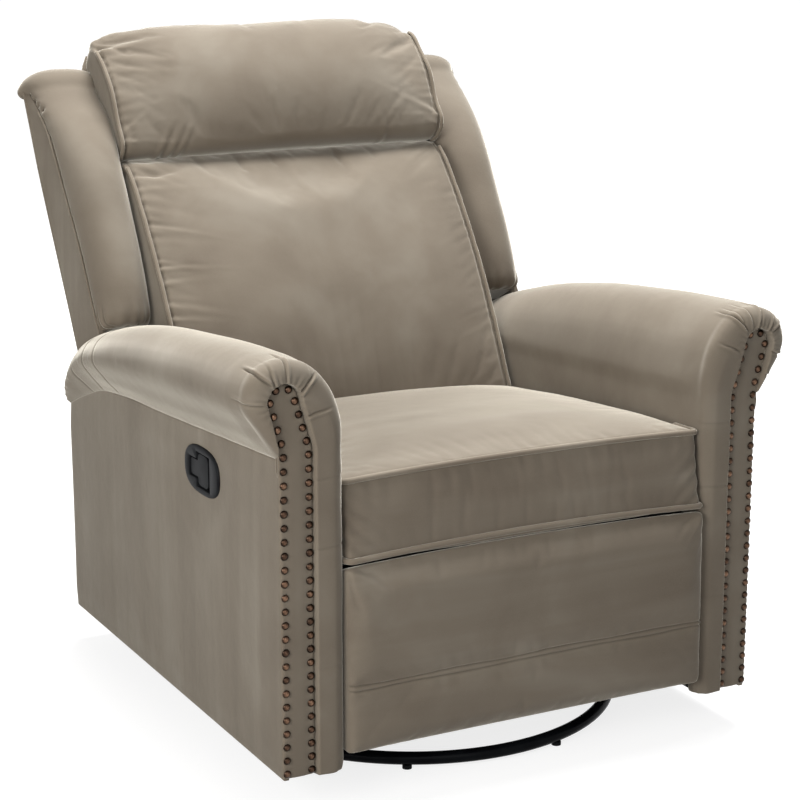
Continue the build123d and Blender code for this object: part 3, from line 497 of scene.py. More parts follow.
def inside_by(points: Points, outline: Points) -> Points:
    """How far flat points lie inside a closed outline.

    Args:
        points: The points, two values a row.
        outline: Corners of the outline in order.

    Returns:
        Distances from the outline, negative outside it.
    """
    best = np.full(len(points), 1e9)
    inside = np.zeros(len(points), bool)
    for (ax, az), (bx, bz) in zip(outline, np.roll(outline, -1, axis=0)):
        dx, dz = bx - ax, bz - az
        px, pz = points[:, 0] - ax, points[:, 1] - az
        t = np.clip((px * dx + pz * dz) / max(dx * dx + dz * dz, 1e-9), 0.0, 1.0)
        best = np.minimum(best, np.hypot(px - t * dx, pz - t * dz))
        if az != bz:
            inside ^= ((pz < 0) != (pz < dz)) & (px < dx * pz / dz)
    return np.where(inside, best, -best)


# Finishes


class Nodes:
    """Adds and joins the nodes of one shader tree."""

    def __init__(self, owner: bpy.types.ID, output: str) -> None:
        """Starts the tree of a material or a sky with nothing but its output.

        Args:
            owner: The material or the sky.
            output: The type of its output node.
        """
        owner.use_nodes = True
        self.tree = owner.node_tree
        self.tree.nodes.clear()
        self.output = self.add(output)

    def put(self, slot: Socket, value: object) -> None:
        """Joins a socket to a slot, or sets a plain value on the slot.

        Args:
            slot: The input to fill.
            value: Another node's output, or a value.
        """
        if isinstance(value, Socket):
            self.tree.links.new(value, slot)
        else:
            slot.default_value = value

    def add(self, kind: str, *first: object, **values: object) -> bpy.types.Node:
        """Adds a node.

        Args:
            kind: The node's type.
            first: What goes into its first inputs, in order.
            values: Its settings, or what goes into its inputs by name, with underscores for spaces.

        Returns:
            The node.
        """
        node = self.tree.nodes.new(kind)
        for key, value in values.items():
            slot = key.replace("_", " ")
            if slot in node.inputs:
                self.put(node.inputs[slot], value)
            else:
                setattr(node, key, value)
        for slot, value in zip(node.inputs, first):
            self.put(slot, value)
        return node

    def place(self) -> Socket:
        """The place on the piece itself."""
        return self.add("ShaderNodeTexCoord").outputs["Object"]

    def span(self, factor: Socket, low: float, high: float,
             start: float = 0.0, end: float = 1.0) -> Socket:
        """Maps a factor to other values.

        Args:
            factor: What is mapped.
            low: The value where the factor is at its start.
            high: The value where it is at its end.
            start: The factor's start.
            end: The factor's end.

        Returns:
            The values.
        """
        return self.add("ShaderNodeMapRange", Value=factor, From_Min=start, From_Max=end,
                        To_Min=low, To_Max=high).outputs[0]

    def seen(self) -> Socket:
        """A factor that is one for rays from the camera, a gloss or through a pane, else nought.

        Returns:
            The factor.
        """
        rays = self.add("ShaderNodeLightPath").outputs
        last = rays["Is Camera Ray"]
        for word in ("Is Glossy Ray", "Is Transmission Ray"):
            last = self.add("ShaderNodeMath", last, rays[word], operation="MAXIMUM").outputs[0]
        return last


class Bench(Nodes):
    """Makes one material: the patterns, colours and relief that go into its surface."""

    def __init__(self, name: str) -> None:
        """Starts the material with a plain surface.

        Args:
            name: The material's name.
        """
        self.material = bpy.data.materials.new(name)
        super().__init__(self.material, "ShaderNodeOutputMaterial")
        self.shader = self.add("ShaderNodeBsdfPrincipled")
        self.put(self.output.inputs[0], self.shader.outputs[0])
        self.spot = self.place()

    def stretched(self, scale: Sequence[float]) -> Socket:
        """The place on the piece, scaled along each axis."""
        return self.add("ShaderNodeMapping", Vector=self.spot, Scale=tuple(scale)).outputs[0]

    def noise(self, scale: float, detail: float = 3.0, at: Optional[Socket] = None,
              **values: object) -> Socket:
        """Cloudy noise.

        Args:
            scale: How fine it is.
            detail: How many finer layers it has.
            at: The place to read it at, or None for the piece's own place.
            values: Other inputs of the node.

        Returns:
            The noise, about 0.5 on average.
        """
        return self.add("ShaderNodeTexNoise", Vector=at or self.spot, Scale=scale, Detail=detail,
                        **values).outputs[0]

    def cells(self, scale: float) -> Socket:
        """Distances from the middles of small cells, for a grain or a weave."""
        return self.add("ShaderNodeTexVoronoi", Vector=self.spot, Scale=scale).outputs["Distance"]

    def ramp(self, factor: Socket,
             stops: Sequence[tuple[float, Sequence[float]]]) -> Socket:
        """Colours along a factor.

        Args:
            factor: What picks the colour.
            stops: Places and colours.

        Returns:
            The colour.
        """
        node = self.add("ShaderNodeValToRGB", Fac=factor)
        band = node.color_ramp.elements
        for element, (place, colour) in zip(band, (stops[0], stops[-1])):
            element.position, element.color = place, (*colour, 1.0)
        for place, colour in stops[1:-1]:
            band.new(place).color = (*colour, 1.0)
        return node.outputs["Color"]

    def mix(self, factor: object, first: object, second: object, blend: str = "MIX") -> Socket:
        """Mixes two colours.

        Args:
            factor: A number or a socket.
            first: A colour or a socket.
            second: A colour or a socket.
            blend: How they are mixed.

        Returns:
            The mixed colour.
        """
        node = self.add("ShaderNodeMix", factor, data_type="RGBA", blend_type=blend)
        for slot, value in zip(node.inputs[6:8], (first, second)):
            self.put(slot, (*value, 1.0) if isinstance(value, tuple) else value)
        return node.outputs[2]

    def bump(self, height: Socket, strength: float, depth: float,
             under: Optional[Socket] = None) -> Socket:
        """Raises the surface by a height.

        Args:
            height: The height, from 0 to 1.
            strength: How strongly it shows.
            depth: How deep it is, in metres.
            under: Another relief below it, or None.

        Returns:
            The bumped direction.
        """
        node = self.add("ShaderNodeBump", Height=height, Strength=strength, Distance=depth)
        if under is not None:
            self.put(node.inputs["Normal"], under)
        return node.outputs[0]

    def finish(self, **sockets: object) -> Material:
        """Fills the surface's inputs.

        Args:
            sockets: Values or sockets by the input's name, with underscores for spaces.

        Returns:
            The material.
        """
        for key, value in sockets.items():
            self.put(self.shader.inputs[key.replace("_", " ")], value)
        return self.material


class Finish(Protocol):
    """What every finish has."""

    name: str
    slot: str

    def material(self) -> Material:
        """Builds the finish's material."""


@dataclass(frozen=True)
class Velvet:
    """Cut velvet: dark pile with brushed patches and a sheen, with painted shade in its creases and a painted
    highlight on its ridges.
    """

    name: str
    nap: Nap
    deep: Colour = (0.104, 0.083, 0.062)
    body: Colour = (0.138, 0.115, 0.088)
    pale: Colour = (0.186, 0.163, 0.131)
    # Painted shade and highlight: colour factors by pointiness, darker in creases and lighter on ridges
    crease_shade_ridge_highlight: tuple[tuple[float, Colour], ...] = (
        (0.44, (0.45, 0.42, 0.40)), (0.5, (1.0, 1.0, 1.0)), (0.56, (1.22, 1.2, 1.17)),
    )
    tint: Colour = (0.96, 0.91, 0.80)
    slot: str = "velvet"

    def material(self) -> Material:
        """Builds the pile, its brushing, the painted shade in its creases, the painted highlight on its ridges
        and its fibres.
        """
        b = Bench(self.name)
        streaks = b.noise(1.0, 4.0, b.stretched(self.nap.value), Distortion=0.4)
        patches = b.noise(5.5, 3.0, Distortion=0.8)
        drift = b.mix(0.5, streaks, patches)
        colour = b.ramp(drift, ((0.32, self.deep), (0.52, self.body), (0.72, self.pale)))
        # Painted shade in creases and painted highlight on ridges, read from the mesh's pointiness
        creases = b.add("ShaderNodeNewGeometry").outputs["Pointiness"]
        shade = b.ramp(creases, self.crease_shade_ridge_highlight)
        colour = b.mix(0.65, colour, b.mix(1.0, colour, shade, "MULTIPLY"))
        fibres = b.noise(900.0, 2.0)
        colour = b.mix(b.span(fibres, 0.0, 0.22, 0.35, 0.75), colour, self.pale)
        crumple = b.bump(b.noise(38.0, 3.0), 0.10, 0.004)
        relief = b.bump(fibres, 0.22, 0.0007, crumple)
        return b.finish(Base_Color=colour, Roughness=b.span(patches, 0.78, 0.95), Normal=relief,
                        Sheen_Weight=1.0, Sheen_Roughness=0.34, Sheen_Tint=(*self.tint, 1.0),
                        Specular_IOR_Level=0.18)


@dataclass(frozen=True)
class NailBronze:
    """Antique bronze nail heads, worn bright on their domes."""

    name: str = "nail_bronze"
    dark: Colour = (0.012, 0.008, 0.006)
    rubbed: Colour = (0.050, 0.029, 0.019)
    worn: Colour = (0.185, 0.108, 0.068)
    slot: str = "bronze_nail"

    def material(self) -> Material:
        """Builds the dark patina with its worn domes and dents."""
        b = Bench(self.name)
        wear = b.add("ShaderNodeAttribute", attribute_name="wear").outputs["Fac"]
        specks = b.noise(700.0, 3.0)
        stops = ((0.34, self.dark), (0.62, self.rubbed), (0.90, self.worn))
        colour = b.ramp(b.mix(0.35, wear, specks), stops)
        return b.finish(Base_Color=colour, Metallic=1.0, Roughness=b.span(specks, 0.16, 0.34),
                        Normal=b.bump(b.noise(420.0, 2.0), 0.25, 0.0006))


@dataclass(frozen=True)
class Paint:
    """Black paint on steel, with a fine orange peel and dust."""

    name: str
    slot: str
    dark: Colour = (0.006, 0.006, 0.007)
    dust: Colour = (0.030, 0.030, 0.032)
    rough: tuple[float, float] = (0.22, 0.38)
    coat: float = 0.4
    gloss: float = 0.5

    def material(self) -> Material:
        """Builds the paint with its peel."""
        b = Bench(self.name)
        cloud = b.noise(24.0, 5.0)
        colour = b.ramp(cloud, ((0.35, self.dark), (0.75, self.dust)))
        peel = b.bump(b.noise(260.0, 2.0), 0.06, 0.0008)
        return b.finish(Base_Color=colour, Roughness=b.span(cloud, *self.rough), Normal=peel,
                        Coat_Weight=self.coat, Coat_Roughness=0.15, Specular_IOR_Level=self.gloss)


@dataclass(frozen=True)
class Moulding:
    """Black moulded plastic or rubber with a fine spark grain."""

    name: str
    slot: str
    dark: Colour = (0.005, 0.005, 0.006)
    pale: Colour = (0.013, 0.014, 0.015)
    rough: tuple[float, float] = (0.40, 0.55)
    grain: float = 900.0
    gloss: float = 0.04

    def material(self) -> Material:
        """Builds the grain and its faint wear."""
        b = Bench(self.name)
        cloud = b.noise(40.0, 4.0)
        colour = b.ramp(cloud, ((0.35, self.dark), (0.70, self.pale)))
        return b.finish(Base_Color=colour, Roughness=b.span(cloud, *self.rough),
                        Normal=b.bump(b.cells(self.grain), 0.12, 0.0004), Specular_IOR_Level=self.gloss)


@dataclass(frozen=True)
class PlainSteel:
    """Zinc plate or oiled spring wire, with rolled streaks."""

    name: str
    slot: str
    dark: Colour = (0.34, 0.35, 0.36)
    pale: Colour = (0.62, 0.63, 0.63)
    rough: tuple[float, float] = (0.24, 0.42)

    def material(self) -> Material:
        """Builds the streaks and spangles."""
        b = Bench(self.name)
        streak = b.noise(1.0, 4.0, b.stretched((12.0, 160.0, 160.0)))
        spangle = b.noise(70.0, 4.0)
        colour = b.ramp(b.mix(0.5, streak, spangle), ((0.35, self.dark), (0.65, self.pale)))
        return b.finish(Base_Color=colour, Metallic=1.0, Roughness=b.span(spangle, *self.rough),
                        Normal=b.bump(streak, 0.05, 0.0004))


@dataclass(frozen=True)
class FrameTimber:
    """Unfinished frame timber with long grain."""

    name: str = "frame_timber"
    slot: str = "frame_wood"
    late: Colour = (0.26, 0.155, 0.075)
    early: Colour = (0.50, 0.345, 0.195)

    def material(self) -> Material:
        """Builds the grain, the rings and the pores."""
        b = Bench(self.name)
        grain = b.noise(1.0, 6.0, b.stretched((5.0, 60.0, 60.0)), Distortion=0.6)
        rings = b.add("ShaderNodeTexWave", Vector=b.stretched((0.4, 1.0, 1.0)), Scale=9.0,
                      Distortion=7.0, Detail=3.0).outputs["Color"]
        colour = b.ramp(b.mix(0.45, grain, rings), ((0.30, self.late), (0.66, self.early)))
        return b.finish(Base_Color=colour, Roughness=b.span(grain, 0.55, 0.75),
                        Normal=b.bump(grain, 0.15, 0.0008))


@dataclass(frozen=True)
class GapShadeLining:
    """Black cambric stapled over the frame, kept near black as painted shade where a gap shows the frame."""

    name: str = "black_cambric_gap_shade"
    slot: str = "lining_cloth"
    # Painted shade: near-black so that gaps onto the frame read dark
    dark: Colour = (0.010, 0.009, 0.009)
    pale: Colour = (0.030, 0.028, 0.026)

    def material(self) -> Material:
        """Builds the coarse weave."""
        b = Bench(self.name)
        cloud = b.noise(30.0, 4.0)
        colour = b.ramp(cloud, ((0.35, self.dark), (0.70, self.pale)))
        return b.finish(Base_Color=colour, Roughness=b.span(cloud, 0.86, 0.96), Specular_IOR_Level=0.1,
                        Normal=b.bump(b.cells(650.0), 0.3, 0.0005))


class Wardrobe:
    """Keeps each finish's material, made once, and dresses pieces and nodes with it."""

    def __init__(self) -> None:
        """Starts with no material made."""
        self._made: dict[str, Material] = {}

    def material(self, finish: Finish) -> Material:
        """The finish's material, made on its first use.

        Args:
            finish: The finish.

        Returns:
            Its material.
        """
        if finish.name not in self._made:
            self._made[finish.name] = finish.material()
        return self._made[finish.name]

    def cover(self, mesh: bpy.types.Mesh, finish: Finish) -> None:
        """Gives a mesh one finish alone."""
        mesh.materials.clear()
        mesh.materials.append(self.material(finish))

    def dress(self, piece: Piece, finish: Finish, body: str, *nodes: str) -> None:
        """Gives a piece its finish, its body and the nodes that it stands for.

        Args:
            piece: The piece.
            finish: Its finish.
            body: The body that it rides on.
            nodes: Nodes that it replaces.
        """
        self.cover(piece.data, finish)
        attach(piece, body)
        if nodes:
            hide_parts(*nodes)
        LOG.info("%s: %d faces on %s", piece.name, len(piece.data.polygons), body)

    def coat(self, finish: Finish, *nodes: str) -> None:
        """Gives nodes that stay in view a finish.

        Args:
            finish: The finish.
            nodes: The nodes' names.
        """
        for name in nodes:
            self.cover(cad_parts[name].data, finish)
            LOG.info("%s: %s", name, finish.name)


SOFT_VELVET = Velvet("velvet_loose", Nap.LOOSE)
SIDE_VELVET = Velvet("velvet_upright", Nap.UPRIGHT)
SEAT_VELVET = Velvet("velvet_crosswise", Nap.CROSSWISE)
LINKAGE_PAINT = Paint("linkage_paint", "black_steel")
RING_PAINT = Paint("ring_paint", "black_tube", (0.002, 0.002, 0.003), (0.006, 0.007, 0.008),
                   (0.20, 0.30), 0.0, 0.03)
ZINC = PlainSteel("zinc", "zinc_steel")


# Sub-assemblies

# Tucks of each arm's scroll: far end x and z, near end x and z, and depth
PLEATS: dict[Side, tuple[Row, ...]] = {
    Side.RIGHT: (
        (419.2, 630.1, 396.5, 607.7, 2.3), (394.5, 626.0, 389.4, 606.9, 1.7), (371.0, 640.0, 374.2, 605.2, 2.1),
        (334.0, 613.0, 357.2, 589.9, 2.5), (316.0, 568.0, 344.9, 561.4, 1.9), (432.0, 585.0, 407.6, 583.0, 1.6),
    ),
    Side.LEFT: (
        (328.0, 635.0, 355.3, 607.8, 2.3), (346.0, 632.0, 351.0, 609.0, 1.2), (361.0, 634.0, 364.0, 609.0, 1.3),
        (385.0, 640.0, 374.0, 608.0, 2.7), (404.0, 620.0, 390.4, 601.0, 1.9), (422.0, 612.0, 401.0, 602.0, 1.7),
        (424.0, 563.0, 393.0, 575.0, 1.8), (398.0, 536.0, 378.0, 545.6, 1.3), (318.0, 588.2, 338.4, 578.4, 1.6),
    ),
}


@dataclass
class Arm:
    """One rolled arm: its cover with the pleated scroll, side panel, facing and nails."""

    side: Side
    front: float = -485.0
    length: float = 837.0
    inner: float = 289.0
    outer: float = 381.0
    core: float = 372.0
    board: float = 297.0
    bottom: float = 58.0
    lift: float = 60.0
    pad: float = 28.0
    inner_low: float = 330.0
    inner_rear: float = 297.0
    round_over: float = 22.0
    corner: float = 14.0
    plump: float = 2.4
    stations: tuple[Row, ...] = (
        (0.000, 505.0, 637.0, 48.0), (0.280, 490.0, 623.0, 47.0), (0.507, 478.0, 602.0, 45.0),
        (0.699, 469.0, 570.0, 41.0), (0.818, 456.0, 539.0, 34.0), (0.892, 437.0, 503.0, 27.0),
        (0.945, 421.0, 464.0, 20.0), (0.975, 411.0, 441.0, 13.0), (1.000, 402.0, 415.0, 5.0),
    )
    facing: float = 47.5
    facing_thick: float = 4.0
    recess: float = 12.0
    knee: float = 12.0
    scroll: tuple[float, float] = (376.0, 583.0)
    scroll_radius: float = 23.0
    nail_edge: float = 5.5
    nail_pitch: float = 19.0
    nail_start: float = 8.0
    nail_radius: float = 5.4
    nail_height: float = 3.4
    handle: tuple[float, float] = (-219.0, 428.0)
    handle_half: tuple[float, float] = (53.0, 29.5)
    curve: Points = field(init=False)

    def __post_init__(self) -> None:
        """Draws the seam, crest and overhang smoothly along the arm."""
        rows = [(self.front + share * self.length, *rest) for share, *rest in self.stations]
        self.curve = smooth_line(rows, 240)

    @property
    def facing_back(self) -> float:
        """The plane that the facing lies on."""
        return self.front + self.recess

    @property
    def facing_front(self) -> float:
        """The plane that the nails are driven into."""
        return self.facing_back - self.facing_thick

    def at(self, y: Points) -> tuple[Points, Points, Points]:
        """Seam height, crest height and overhang at places along the arm."""
        return tuple(np.interp(y, self.curve[:, 0], self.curve[:, k]) for k in (1, 2, 3))

    def skin(self, y: float, inset: float = 0.0, tuck: float = 0.0) -> Points:
        """Front-view line of the roll at y, from the side seam over the top to the waist inside.

        Args:
            y: Place along the arm.
            inset: How far the roll is drawn in.
            tuck: How far the inside of the arm is drawn in.

        Returns:
            Points (x, z).
        """
        seam, crest, over = (float(value) for value in self.at(np.array(y)))
        high = crest - seam
        inner, outer = self.inner + tuck, self.outer
        reach = over - min(inset, over + 12.0)
        return smooth_line([
            (outer - 0.15 * inset, seam + 0.1 * inset),
            (outer + 0.50 * reach, seam + 0.29 * high),
            (outer + reach, seam + 0.62 * high),
            (outer + 0.80 * reach - 2.0, crest - 0.13 * high - 0.75 * inset),
            (outer + 0.10 * over, crest - inset),
            (0.45 * outer + 0.55 * inner + 8.0, crest - 0.06 * high - inset),
            (inner + 20.0 + 0.3 * inset, seam + 0.70 * high - 0.55 * inset),
            (inner + 3.5, seam + 0.32 * high - 0.2 * inset),
            (inner, seam - 0.1 * high),
        ], 70)

    def loop(self, y: float, inset: float, tuck: float, closing: Sequence[tuple[float, float]]) -> Points:
        """A closed outline at y: the roll's line and the corners that close it.

        Args:
            y: Place along the arm.
            inset: How far the roll is drawn in.
            tuck: How far the inside is drawn in.
            closing: The corners as (x, z).

        Returns:
            The points of the outline.
        """
        flat = np.vstack([self.skin(y, inset, tuck), closing])
        return rows_of(flat[:, 0], y, flat[:, 1])

    def cover_solids(self) -> list[Solid]:
        """The roll with the inside of the arm, and the padded front, which overlap a little.

        Returns:
            The two solids of the left arm.
        """
        roll = []
        runs = [np.linspace(self.front + self.pad - 5.0, 250.0, 70), np.linspace(256.0, 352.0, 26)]
        for y in np.concatenate(runs):
            seam = float(self.at(np.array(y))[0])
            low = self.inner_low if y < self.inner_rear else seam - 20.0
            ends = [(self.inner, low), (self.board, low), (self.board, seam - 4.0), (self.core, seam - 4.0)]
            roll.append(self.loop(y, 0.0, 0.0, ends))
        face = []
        for turn in np.linspace(0.0, math.pi / 2, 12):
            back = self.pad * (1 - math.sin(turn))
            inset = self.round_over * (1 - math.cos(turn))
            tuck = self.corner * max(0.0, 1 - back / self.corner) ** 2
            y = self.front + back
            seam = float(self.at(np.array(y))[0])
            ends = [(self.inner + tuck, self.lift), (self.core, self.lift), (self.core, seam - 1.0)]
            face.append(self.loop(y, inset, tuck, ends))
        return [loft(roll), loft(face)]

    def in_facing(self, points: Points) -> Points:
        """How far points lie inside the facing's outline, seen from the front."""
        return inside_by(rows_of(np.abs(points[:, 0]), points[:, 2]), self.facing_outline(0.0, -30.0))

    def from_scroll(self, points: Points) -> tuple[Points, Points]:
        """Distance from the middle of the scroll and the angle round it, seen from the front."""
        dx, dz = np.abs(points[:, 0]) - self.scroll[0], points[:, 2] - self.scroll[1]
        return np.hypot(dx, dz), np.arctan2(dz, dx)

    def worked(self, points: Points) -> Points:
        """Where the cover is pleated or sewn round the facing and needs a finer mesh."""
        at_scroll = (self.from_scroll(points)[0] < 92.0) & (points[:, 1] < self.front + 48.0)
        return at_scroll | ((np.abs(self.in_facing(points)) < 7.0) & (points[:, 1] < self.front + 14.0))

    def pleat_height(self, points: Points) -> Points:
        """Tucks that fan out from the scroll, and the creases down the front and round the rear.

        Args:
            points: Points of the cover.

        Returns:
            How far each is raised.
        """
        x, y, z = np.abs(points[:, 0]), points[:, 1], points[:, 2]
        far, angle = self.from_scroll(points)
        seam = self.at(y)[0]
        ahead = 1 - ease_in(y, self.front + 22.0, self.front + 62.0)
        total = np.zeros(len(points))
        for x0, z0, x1, z1, deep in PLEATS[self.side]:
            length = math.hypot(x1 - x0, z1 - z0)
            ux, uz = (x1 - x0) / length, (z1 - z0) / length
            along = (x - x0) * ux + (z - z0) * uz
            off = (x - x0) * uz - (z - z0) * ux + 1.2 * np.sin(along * 0.11)
            reach = ease_in(along, -10.0, 10.0) * (1 - ease_in(along, length - 3.0, length + 5.0))
            total += deep * reach * ahead * fold(off, 0.0, 2.4 + 0.02 * np.clip(length - along, 0.0, 60.0))
        rim = 1 - ease_in(far, self.scroll_radius + 6.0, self.scroll_radius + 24.0)
        total += 0.45 * rim * ahead * ease_in(z, 540.0, 570.0) * np.sin(angle * 23.0 + np.sin(angle * 5.0))
        front = 1 - ease_in(y, self.front + 8.0, self.front + 30.0)
        total += 3.4 * front * ease_in(z, 500.0, 560.0)
        for level, deep in ((474.0, 1.0), (379.0, 1.2), (212.0, 0.5)):
            line = level + 1.5 * np.sin(x * 0.09) + 0.06 * (x - 310.0)
            total -= deep * bump_at(z, line, 2.4) * front * (x < 345.0)
        total += front * (x < 340.0) * (0.8 * waver(points, 90.0, 13) + 1.0 * bump_at(x, 311.0, 14.0))
        for spot, lean in ((106.0, 0.02), (180.0, -0.22), (230.0, 0.30)):
            total -= 1.2 * bump_at(y - lean * (z - seam), spot, 2.6) * ease_in(x, 372.0, 390.0) * (z > seam)
        calm = ease_in(y, self.front + 20.0, self.front + 70.0) * ease_in(z - seam, 2.0, 30.0)
        return total + calm * (self.plump + 1.1 * waver(points, 150.0, 11 + self.side.value))

    def sink_facing(self, piece: Piece) -> None:
        """Draws the cover back behind the facing, with a crisp edge round it.

        Args:
            piece: The cover.
        """
        points = points_of(piece)
        hollow = ease_in(self.in_facing(points), -2.6, 0.4) * (points[:, 1] < self.front + 26.0)
        points[:, 1] += hollow * np.maximum(self.facing_back + 1.0 - points[:, 1], 0.0)
        set_points(piece, points)

    def build_cover(self, wardrobe: Wardrobe) -> None:
        """Makes the cover over the roll, the inside and the front.

        Args:
            wardrobe: Gives the pieces their finishes.
        """
        word = self.side.word
        piece = make_piece(f"arm_cover_{word}", self.cover_solids(), self.side)
        fuse(piece, 5.0, 4)
        apply_modifier(piece, "SUBSURF", levels=1)
        refine(piece, self.worked)
        push(piece, self.pleat_height)
        self.sink_facing(piece)
        stands_for = [f"{node}_{word}" for node in ("arm_roll", "arm_front", "inner_side")]
        wardrobe.dress(piece, SOFT_VELVET, "chassis", *stands_for)

    def panel_plan(self) -> tuple[Points, Points]:
        """Plan line of the side panel round the rear corner, and its outward directions.

        Returns:
            Points (x, y) and directions, evenly spaced.
        """
        rear, bend = self.front + self.length, 14.0
        corner = [(self.outer - bend + bend * math.cos(t), rear - bend + bend * math.sin(t))
                  for t in np.linspace(0.0, math.pi / 2, 9)]
        plan = evenly(np.array([(self.outer, self.facing_back - 2.0), *corner, (self.board, rear)]), 600)
        way = np.gradient(plan, axis=0)
        away = rows_of(way[:, 1], -way[:, 0])
        return plan, away / np.linalg.norm(away, axis=1, keepdims=True)

    def panel_place(self, u: Points, v: Points) -> Points:
        """Points on the side panel for shares along it and up.

        Args:
            u: Shares along the panel.
            v: Shares up the panel.

        Returns:
            The points.
        """
        plan, _ = self.panel_plan()
        run = np.linspace(0.0, 1.0, len(plan))
        x, y = (np.interp(u, run, plan[:, k]) for k in (0, 1))
        return rows_of(x, y, self.bottom + v * (self.at(y)[0] - self.bottom))

    def panel_out(self, u: Points, v: Points) -> Points:
        """Outward directions of the side panel for shares along it and up."""
        _, away = self.panel_plan()
        run = np.linspace(0.0, 1.0, len(away))
        return rows_of(np.interp(u, run, away[:, 0]), np.interp(u, run, away[:, 1]), 0.0 * v)

    def handle_hole(self, points: Points) -> Points:
        """Which points fall where the handle's well passes through the panel."""
        dy, dz = (np.abs(points[:, 1:] - self.handle) / self.handle_half).T
        return (dy**2.6 + dz**2.6 < 1.0) & (points[:, 0] > self.core)

    def panel_height(self, points: Points) -> Points:
        """The side panel's soft swell and the small puckers under the roll.

        Args:
            points: Points of the panel.

        Returns:
            How far each is raised.
        """
        y, z = points[:, 1], points[:, 2]
        seam = self.at(y)[0]
        inside = ease_in(z, self.bottom, self.bottom + 40.0) * ease_in(seam - z, 0.0, 40.0)
        inside *= ease_in(y, self.facing_back, self.facing_back + 40.0)
        inside *= np.abs(points[:, 0]) > self.outer - 3.0
        flat = ease_in(np.hypot(y - self.handle[0], z - self.handle[1]), 62.0, 110.0)
        folds = bump_at(z, seam - 7.0, 4.0) * np.sin(y * 0.11 + np.sin(y * 0.031) * 2.0)
        return inside * flat * (1.6 + 1.0 * waver(points, 210.0, 3)) + 0.5 * inside * folds

    def build_side(self, wardrobe: Wardrobe) -> None:
        """Makes the covered side panel, which wraps the rear corner.

        Args:
            wardrobe: Gives the pieces their finishes.
        """
        word = self.side.word
        plan, _ = self.panel_plan()
        total = float(np.linalg.norm(np.diff(plan, axis=0), axis=1).sum())
        skip = self.handle_hole if self.side is Side.RIGHT else None
        solid = soft_panel(self.panel_place, self.panel_out, (total, 400.0), 9.0, 3.0, 5.0, skip)
        piece = make_piece(f"side_panel_{word}", [solid], self.side)
        push(piece, self.panel_height)
        wardrobe.dress(piece, SIDE_VELVET, "chassis", f"outer_side_{word}")

    def facing_outline(self, edge: float, start: float) -> Points:
        """The facing's outline from the foot outside over the scroll to the foot inside.

        Args:
            edge: How far inside the facing's edge it runs.
            start: How far above the foot it starts.

        Returns:
            Points (x, z).
        """
        knee = self.stations[0][1] + self.knee
        cx, cz = self.scroll
        radius = self.scroll_radius - edge
        arc = [(cx + radius * math.cos(t), cz + radius * math.sin(t)) for t in np.linspace(0.0, math.pi, 33)]
        left, right = self.outer - edge, self.outer - self.facing + edge
        foot = self.lift + start
        return np.array([(left, foot), (left, knee), *arc, (right, knee), (right, foot)])

    def nail_spots(self) -> Points:
        """Middles of the nail heads as (x, z)."""
        path = self.facing_outline(self.nail_edge, self.nail_start)
        length = float(np.linalg.norm(np.diff(path, axis=0), axis=1).sum())
        return evenly(path, round(length / self.nail_pitch) + 1)

    def facing_height(self, points: Points) -> Points:
        """The facing's soft middle, drawn in at each nail.

        Args:
            points: Points of the facing.

        Returns:
            How far each is raised.
        """
        spots = self.nail_spots()
        x, z = np.abs(points[:, 0]), points[:, 2]
        face = 1 - ease_in(points[:, 1], self.facing_front + 0.5, self.facing_front + 2.5)
        near = np.min(np.hypot(x[:, None] - spots[:, 0], z[:, None] - spots[:, 1]), axis=1)
        return face * (0.9 - 2.1 * bump_at(near, 0.0, 7.5) + 0.35 * waver(points, 60.0, 5))

    def build_facing(self, wardrobe: Wardrobe) -> None:
        """Makes the inset facing, dimpled at each nail.

        Args:
            wardrobe: Gives the pieces their finishes.
        """
        word = self.side.word
        outline = evenly(self.facing_outline(0.0, 0.0), 300)
        ends = (self.facing_back + 6.0, self.facing_front)
        solid = loft([rows_of(outline[:, 0], y, outline[:, 1]) for y in ends])
        piece = make_piece(f"facing_{word}", [solid], self.side)
        fuse(piece, 2.6, 3)
        push(piece, self.facing_height)
        wardrobe.dress(piece, SIDE_VELVET, "chassis", f"arm_facing_{word}")

    def nail_solids(self) -> list[Solid]:
        """Domed nail heads with a rolled rim, each a little different.

        Returns:
            One solid for each nail.
        """
        rng = np.random.default_rng(7)
        solids = []
        turn = circle(NAIL_SIDES)
        for x, z in self.nail_spots():
            size = rng.uniform(0.96, 1.04)
            tip = rng.normal(0.0, 0.05, 2)
            loops = []
            for share, rise in NAIL_PROFILE:
                r = share * self.nail_radius * size
                tilt = 1 + tip[0] * np.cos(turn) * share + tip[1] * np.sin(turn) * share
                y = self.facing_front - rise * self.nail_height * tilt
                loops.append(rows_of(x + r * np.cos(turn), y, z + r * np.sin(turn)))
            solids.append(mirrored(loft(loops), self.side))
        return solids


@dataclass
class NailTrim:
    """All the nail heads of both facings as one piece, with the wear of each dome."""

    arms: Sequence[Arm]

    def build(self, wardrobe: Wardrobe) -> None:
        """Makes the heads and marks how worn they are.

        Args:
            wardrobe: Gives the pieces their finishes.
        """
        piece = make_piece("nail_trim", [solid for arm in self.arms for solid in arm.nail_solids()])
        points = points_of(piece)
        arm = self.arms[0]
        rise = (arm.facing_front - points[:, 1]) / arm.nail_height
        head = np.arange(len(points)) // (NAIL_SIDES * len(NAIL_PROFILE) + 2)
        tone = np.random.default_rng(3).uniform(-0.16, 0.16, head[-1] + 1)[head]
        wear = piece.data.attributes.new("wear", "FLOAT", "POINT")
        wear.data.foreach_set("value", np.clip(0.05 + 0.80 * rise + tone, 0.0, 1.0).astype(np.float32))
        wardrobe.dress(piece, NailBronze(), "chassis", "facing_nails")


